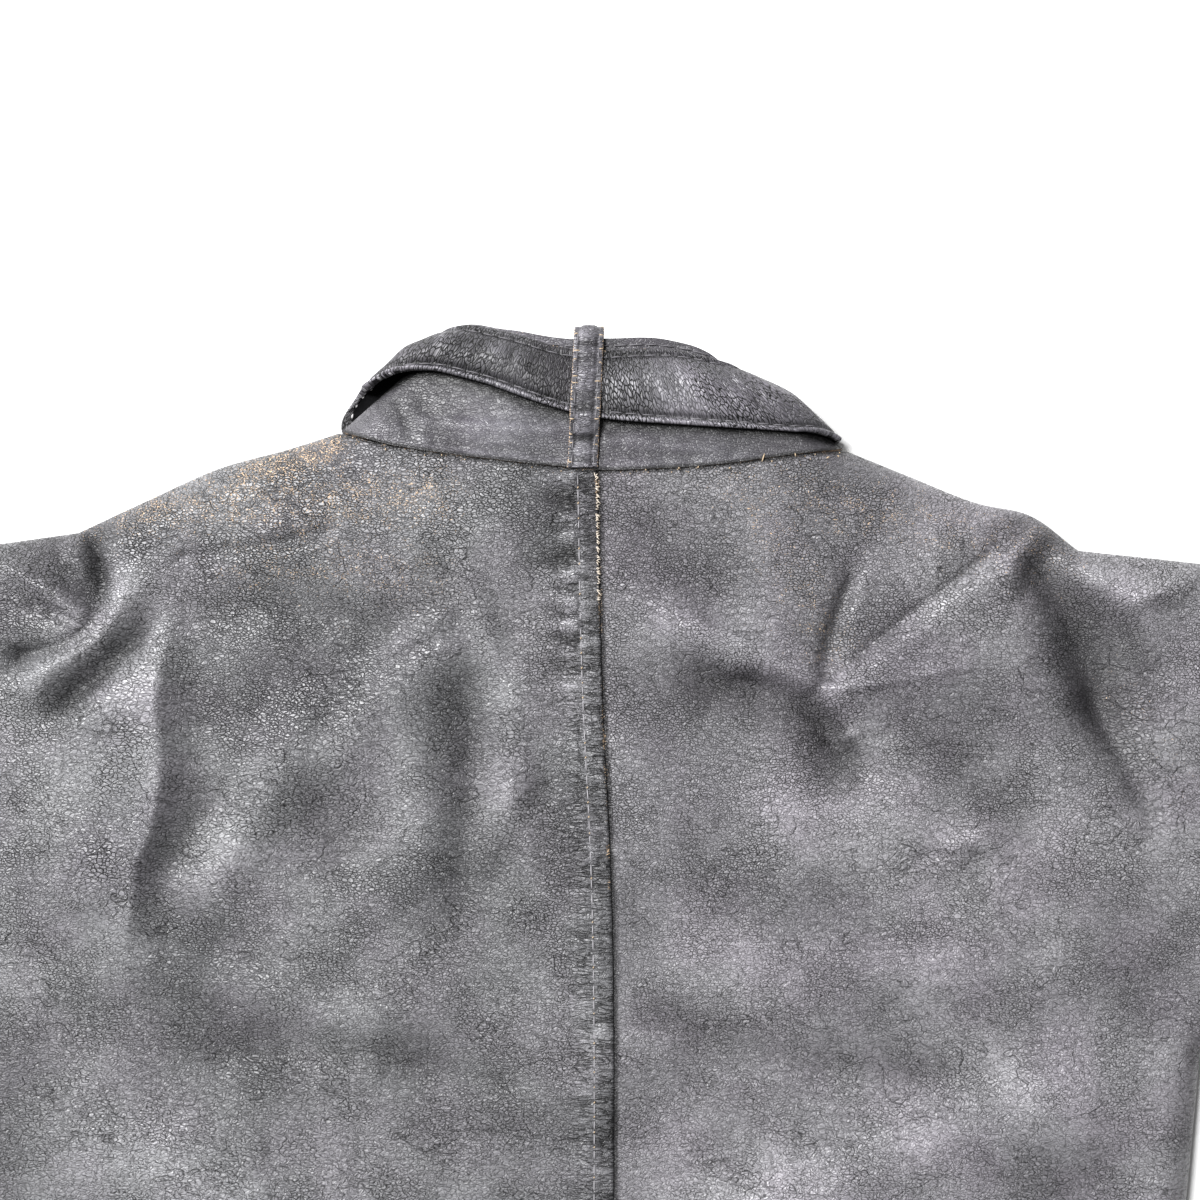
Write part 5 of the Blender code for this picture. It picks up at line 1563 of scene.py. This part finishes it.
def leather_material(name, hide, attribute=None, drawn_up=False):
    """Worn aniline-dyed cowhide: a grey dye with a soft gloss over a pebbled, cracked grain, rubbed to tan.

    Pebbles are flat cells bent by noise, each with its own tilt and tone and with dark gaps between them;
    they are larger where the coarse attribute is high. Cracks and long creases follow the contours of
    noises, and so do the cross creases of a hide that is drawn up along a seam, where the gathered attribute
    is high. A web of larger cells darkens what the creased attribute marks. The relief attribute paints
    highlights and polish onto what stands up and paints shade into what is sunk, and the wear attribute lets
    specks of the undyed hide through.
    """
    material, add = new_material(name)
    if attribute:
        place = add("Attribute", (), "Vector", attribute_name=attribute)
    else:
        place = add("TexCoord", (), "Object")
    keys = ("wear", "relief", "coarse", "creased", "gathered")
    marks = [add("Attribute", (), "Fac", attribute_name=key) for key in keys]
    wear, relief, coarse, creased, gathered = marks

    def bent(vector, size, amount):
        """Places moved each way by up to half an amount, by a noise of a given size."""
        inputs = {"Vector": vector, "Scale": scale_for(size), "Detail": 1.0}
        shift = add("TexNoise", inputs, "Color", **FLAT_NOISE)
        shift = add("VectorMath", (shift, MIDDLE), operation="SUBTRACT")
        return add("VectorMath", (shift, (amount * MM,) * 3, vector), operation="MULTIPLY_ADD")

    def patches(size, detail, spread):
        """Soft patches of a given size: a noise with its values spread over another range."""
        value = add("TexNoise", {"Vector": place, "Scale": scale_for(size), "Detail": detail}, **FLAT_NOISE)
        return add("MapRange", (value, *spread), **SMOOTH)

    def contours(vector, size, detail, width, roughness=0.5):
        """Lines along the middle value of a noise: 1 on a line, 0 where the noise is a width away from it."""
        inputs = {"Vector": vector, "Scale": scale_for(size), "Detail": detail, "Roughness": roughness}
        away = add("TexNoise", inputs, **FLAT_NOISE)
        away = add("Math", (away, 0.5), operation="SUBTRACT")
        away = add("Math", (away,), operation="ABSOLUTE")
        return add("MapRange", (away, 0.0, width, 1.0, 0.0), **SMOOTH)

    def borders(vector, size, width):
        """Borders of flat cells of a given size: 1 on a border, 0 a given share of a cell inside it."""
        inputs = {"Vector": vector, "Scale": scale_for(size)}
        inside = add("TexVoronoi", inputs, "Distance", feature="DISTANCE_TO_EDGE", **FLAT_CELLS)
        return add("MapRange", (inside, 0.0, width, 1.0, 0.0), **SMOOTH)

    # Grain
    drawn = add("VectorMath", (place, hide.stretch), operation="MULTIPLY")
    pebbled = bent(drawn, *PEBBLE_BEND)
    gap = borders(pebbled, hide.grain, PEBBLE_GAP)
    coarse_gap = borders(pebbled, COARSE_PEBBLE * hide.grain, COARSE_GAP)
    gap = add("Mix", {SHARE: coarse, VALUE_A: gap, VALUE_B: coarse_gap})
    inputs = {"Vector": pebbled, "Scale": scale_for(hide.grain)}
    pebble_middle = add("TexVoronoi", inputs, "Position", feature="F1", **FLAT_CELLS)
    pebble_draw = pebble_middle.node.outputs["Color"]
    from_middle = add("VectorMath", (pebbled, pebble_middle), operation="SUBTRACT")
    lean = add("VectorMath", (pebble_draw, MIDDLE), operation="SUBTRACT")
    facet = add("VectorMath", (from_middle, lean), "Value", operation="DOT_PRODUCT")
    fine = add("TexNoise", {"Vector": drawn, "Scale": scale_for(FINE_GRAIN), "Detail": 1.0}, **FLAT_NOISE)
    lump = add("TexNoise", {"Vector": drawn, "Scale": scale_for(LUMP), "Detail": 1.0}, **FLAT_NOISE)

    # Cracks and creases
    crack = contours(pebbled, hide.crack, 1.0, CRACK_WIDTH, CRACK_RAGGEDNESS)
    crease = contours(pebbled, LONG_CREASE, 2.0, LONG_CREASE_WIDTH)
    crease = add("Math", (crease, patches(*CREASED_PATCHES)), operation="MULTIPLY")
    web_bend = WEB_BEND * hide.web
    web = borders(bent(drawn, web_bend, web_bend), hide.web, WEB_WIDTH)
    webbed = add("Math", (patches(*WEBBED_PATCHES), creased), operation="ADD")
    web = add("Math", (web, webbed), operation="MULTIPLY")
    crack_shade = min(CRACK_SHADE * hide.crack_depth, CRACK_SHADE_LIMIT)
    layers = [
        (facet, hide.tilt),
        (fine, FINE_DEPTH * MM),
        (lump, LUMP_DEPTH * MM),
        (crack, -hide.crack_depth * MM),
        (crease, -LONG_CREASE_DEPTH * hide.crack_depth * MM),
    ]
    darkening = [(crack, crack_shade), (crease, crack_shade), (web, WEB_SHADE)]
    if drawn_up:
        pulled = add("VectorMath", (place, CROSS_STRETCH), operation="MULTIPLY")
        cross = contours(bent(pulled, *CROSS_BEND), CROSS_CREASE, 1.0, CROSS_WIDTH)
        in_dips = add("MapRange", (relief, *CROSS_IN_DIPS), **SMOOTH)
        for share in (gathered, in_dips):
            cross = add("Math", (cross, share), operation="MULTIPLY")
        smoothed = add("Math", (gathered, -GATHERED_SMOOTHING, 1.0), operation="MULTIPLY_ADD")
        gap = add("Math", (gap, smoothed), operation="MULTIPLY")
        layers.append((cross, -CROSS_DEPTH * MM))
        darkening.append((cross, CROSS_SHADE))

    # Height
    height = add("Math", (gap, -hide.grain_depth * MM), operation="MULTIPLY")
    height = add("Math", (height, patches(*LOOSE_PATCHES)), operation="MULTIPLY")
    for pattern, amount in layers:
        height = add("Math", (pattern, amount, height), operation="MULTIPLY_ADD")

    # Dye and its shading: darker gaps and cracks, and painted highlights and painted shade after the relief
    inputs = {SHARE: patches(*TONE_PATCHES), COLOUR_A: linear(hide.dark), COLOUR_B: linear(hide.light)}
    dye = add("Mix", inputs, MIXED_COLOUR, **COLOURS)
    inputs = {SHARE: 1.0, COLOUR_A: dye, COLOUR_B: linear(TINT)}
    tinted = add("Mix", inputs, MIXED_COLOUR, blend_type="MULTIPLY", **COLOURS)
    inputs = {SHARE: patches(*TINT_PATCHES), COLOUR_A: dye, COLOUR_B: tinted}
    dye = add("Mix", inputs, MIXED_COLOUR, **COLOURS)
    shade = add("Math", (gap, patches(*GAP_PATCHES)), operation="MULTIPLY")
    shade = add("Math", (shade, -GAP_SHADE * hide.grain_depth, BASE_SHADE), operation="MULTIPLY_ADD")
    factors = []
    for pattern, amount in darkening:
        factors.append(add("Math", (pattern, -amount, 1.0), operation="MULTIPLY_ADD"))
    # Painted highlights on what stands up and painted shade in what is sunk, after the relief
    for value, spread in ((pebble_draw, PEBBLE_TONES), (relief, RELIEF_PAINTED_LIGHT), (relief, SUNK_PAINTED_SHADE)):
        factors.append(add("MapRange", (value, *spread), **SMOOTH))
    for factor in factors:
        shade = add("Math", (shade, factor), operation="MULTIPLY")
    inputs = {SHARE: 1.0, COLOUR_A: dye, COLOUR_B: shade}
    dye = add("Mix", inputs, MIXED_COLOUR, blend_type="MULTIPLY", **COLOURS)

    # Bare hide where the dye is rubbed off
    speck = add("TexNoise", {"Vector": pebbled, "Scale": scale_for(SPECK), "Detail": 2.0}, **FLAT_NOISE)
    clump = add("TexNoise", {"Vector": place, "Scale": scale_for(SPECK_CLUMP), "Detail": 2.0}, **FLAT_NOISE)
    speck = add("Math", (clump, SPECK_CLUMPING, speck), operation="MULTIPLY_ADD")
    dyed = add("Math", (wear, -WEAR_STRENGTH, 1.0), operation="MULTIPLY_ADD")
    bare = add("Math", (speck, dyed), operation="SUBTRACT")
    bare = add("MapRange", (bare, *SPECK_EDGE), **SMOOTH)
    bare = add("Math", (bare, add("MapRange", (wear, *WEAR_START), **SMOOTH)), operation="MULTIPLY")
    inputs = {SHARE: fine, COLOUR_A: linear(BARE_HIDE[0]), COLOUR_B: linear(BARE_HIDE[1])}
    tan = add("Mix", inputs, MIXED_COLOUR, **COLOURS)
    colour = add("Mix", {SHARE: bare, COLOUR_A: dye, COLOUR_B: tan}, MIXED_COLOUR, **COLOURS)

    rough = add("MapRange", (relief, *RELIEF_ROUGHNESS), **SMOOTH)
    for pattern, amount in ((crack, CRACK_ROUGHNESS), (bare, BARE_ROUGHNESS)):
        rough = add("Math", (pattern, amount, rough), operation="MULTIPLY_ADD")
    normal = add("Bump", {"Strength": 1.0, "Distance": 1.0, "Height": height})
    return finished(material, {"Base Color": colour, "Roughness": rough, "Normal": normal})


def two_tones(add, size, detail, dark, light, spread=None):
    """Noise of a given size, and a colour that goes between two tones with it or with a part of its range."""
    place = add("TexCoord", (), "Object")
    noise = add("TexNoise", {"Vector": place, "Scale": scale_for(size), "Detail": detail})
    share = add("MapRange", (noise, *spread)) if spread else noise
    inputs = {SHARE: share, COLOUR_A: linear(dark), COLOUR_B: linear(light)}
    return noise, add("Mix", inputs, MIXED_COLOUR, **COLOURS)


def lining_and_shade_material():
    """Black cotton lining inside the jacket and on the strap's inner face: matt, with a fine plain weave,
    dyed darker than cloth as painted shade.
    """
    material, add = new_material("black lining, darkened as painted shade")
    weave, colour = two_tones(add, size=1.2, detail=4.0, dark="#060607", light="#141415")
    normal = add("Bump", {"Strength": 0.5, "Distance": 0.3 * MM, "Height": weave})
    inputs = {"Base Color": colour, "Roughness": 0.95, "Specular IOR Level": 0.05, "Normal": normal}
    return finished(material, inputs)


def raw_edge_material():
    """Cut edge of the hide: dyed grey with pale fibres."""
    material, add = new_material("raw leather edge")
    colour = two_tones(add, size=1.6, detail=3.0, dark="#2c2a2b", light="#a08a74", spread=(0.4, 0.65))[1]
    return finished(material, {"Base Color": colour, "Roughness": 0.9})


def metal_material():
    """Antique nickel zip metal: grey, a little warm, with duller scuffs."""
    material, add = new_material("antique nickel")
    scuff, colour = two_tones(add, size=1.5, detail=4.0, dark="#6f6a61", light="#a59d8e")
    rough = add("MapRange", (scuff, 0.0, 1.0, 0.25, 0.55))
    return finished(material, {"Base Color": colour, "Roughness": rough, "Metallic": 1.0})


def tape_material():
    """Woven polyester zip tape: near black, with a fine rib across it."""
    material, add = new_material("woven zip tape")
    place = add("TexCoord", (), "Object")
    inputs = {"Vector": place, "Scale": RIB_WAVE * scale_for(TAPE_RIB), "Distortion": 0.6}
    rib = add("TexWave", inputs, "Fac", bands_direction="Y")
    inputs = {SHARE: rib, COLOUR_A: linear("#141415"), COLOUR_B: linear("#2d2c2e")}
    colour = add("Mix", inputs, MIXED_COLOUR, **COLOURS)
    normal = add("Bump", {"Strength": 0.6, "Distance": 0.1 * MM, "Height": rib})
    return finished(material, {"Base Color": colour, "Roughness": 0.85, "Normal": normal})


def thread_material(name, dark, light):
    """Polyester sewing thread: satin fibres, a little soiled along its length."""
    material, add = new_material(name)
    colour = two_tones(add, size=2.5, detail=3.0, dark=dark, light=light)[1]
    return finished(material, {"Base Color": colour, "Roughness": 0.6})


def add_stage():
    """Plain white floor, two soft lights from the upper left, one high and one low, and the camera."""
    mesh = bpy.data.meshes.new("floor")
    signs = ((-1, -1), (1, -1), (1, 1), (-1, 1))
    corners = [(x * FLOOR_HALF, y * FLOOR_HALF, -FLOOR_DROP) for x, y in signs]
    mesh.from_pydata(corners, [], [(0, 1, 2, 3)])
    paper = new_material("white paper floor")[0]
    mesh.materials.append(finished(paper, {"Base Color": linear(PAPER), "Roughness": PAPER_ROUGHNESS}))
    floor = bpy.data.objects.new("floor", mesh)
    bpy.context.scene.collection.objects.link(floor)

    target = bpy.data.objects.new("aim", None)
    target.location = LIGHTS_AIM
    bpy.context.scene.collection.objects.link(target)
    for row in LIGHTS:
        light = bpy.data.lights.new(row.name, "AREA")
        light.shape = "DISK"
        light.size = row.width
        light.energy = row.power
        lamp = bpy.data.objects.new(row.name, light)
        lamp.location = row.place
        aim = lamp.constraints.new("TRACK_TO")
        aim.target = target
        bpy.context.scene.collection.objects.link(lamp)

    world = bpy.data.worlds.new("studio")
    world.use_nodes = True
    background = world.node_tree.nodes["Background"]
    plug(world.node_tree, background, {"Color": linear(SKY), "Strength": SKY_STRENGTH})
    bpy.context.scene.world = world
    bpy.context.scene.view_settings.view_transform = "Standard"

    camera = bpy.data.objects.new("camera", bpy.data.cameras.new("camera"))
    camera.data.lens = CAMERA_LENS
    camera.data.sensor_width = CAMERA_SENSOR
    camera.location = (CAMERA_X * MM, (NECK_Y + CAMERA_Y) * MM, CAMERA_HEIGHT * MM)
    bpy.context.scene.collection.objects.link(camera)
    bpy.context.scene.camera = camera


def main():
    """Dresses every solid, adds the sewing and the zip, and sets the stage."""
    lining = lining_and_shade_material()
    raw = raw_edge_material()
    left = [leather_material("worn cowhide", HIDES["left"], drawn_up=True), lining, raw]
    right = [leather_material("smoother worn cowhide", HIDES["right"]), lining, raw]
    collar = [leather_material("collar cowhide", HIDES["collar"]), lining, raw]
    # The strap's inner face takes the near-black lining, as painted shade
    strap = [leather_material("strap cowhide", HIDES["strap"], "lay"), lining]
    keeper = [leather_material("keeper cowhide", HIDES["keeper"], "lay")]
    thread = thread_material("grey polyester thread", "#454347", "#77757a")
    worn = thread_material("worn grey polyester thread", "#6f6d71", "#a9a7ab")
    tan = thread_material("tan cotton thread", "#98846b", "#cab598")
    pale = thread_material("pale polyester thread", "#9a989a", "#d2d0d0")
    frayed = thread_material("frayed hide fibres", "#a99a88", "#ece3d6")
    add_back(left, right)
    add_fronts(left)
    add_sleeve("left", left)
    add_sleeve("right", right)
    stand = add_stand(collar)
    sewn_strap = add_strap(strap)
    keeper_points = add_keeper(keeper)
    sew_back(thread, worn, tan, frayed)
    sew_neck(tan)
    sew_collar(stand, sewn_strap, keeper_points, thread, tan, pale)
    dress_zip()
    add_stage()


main()
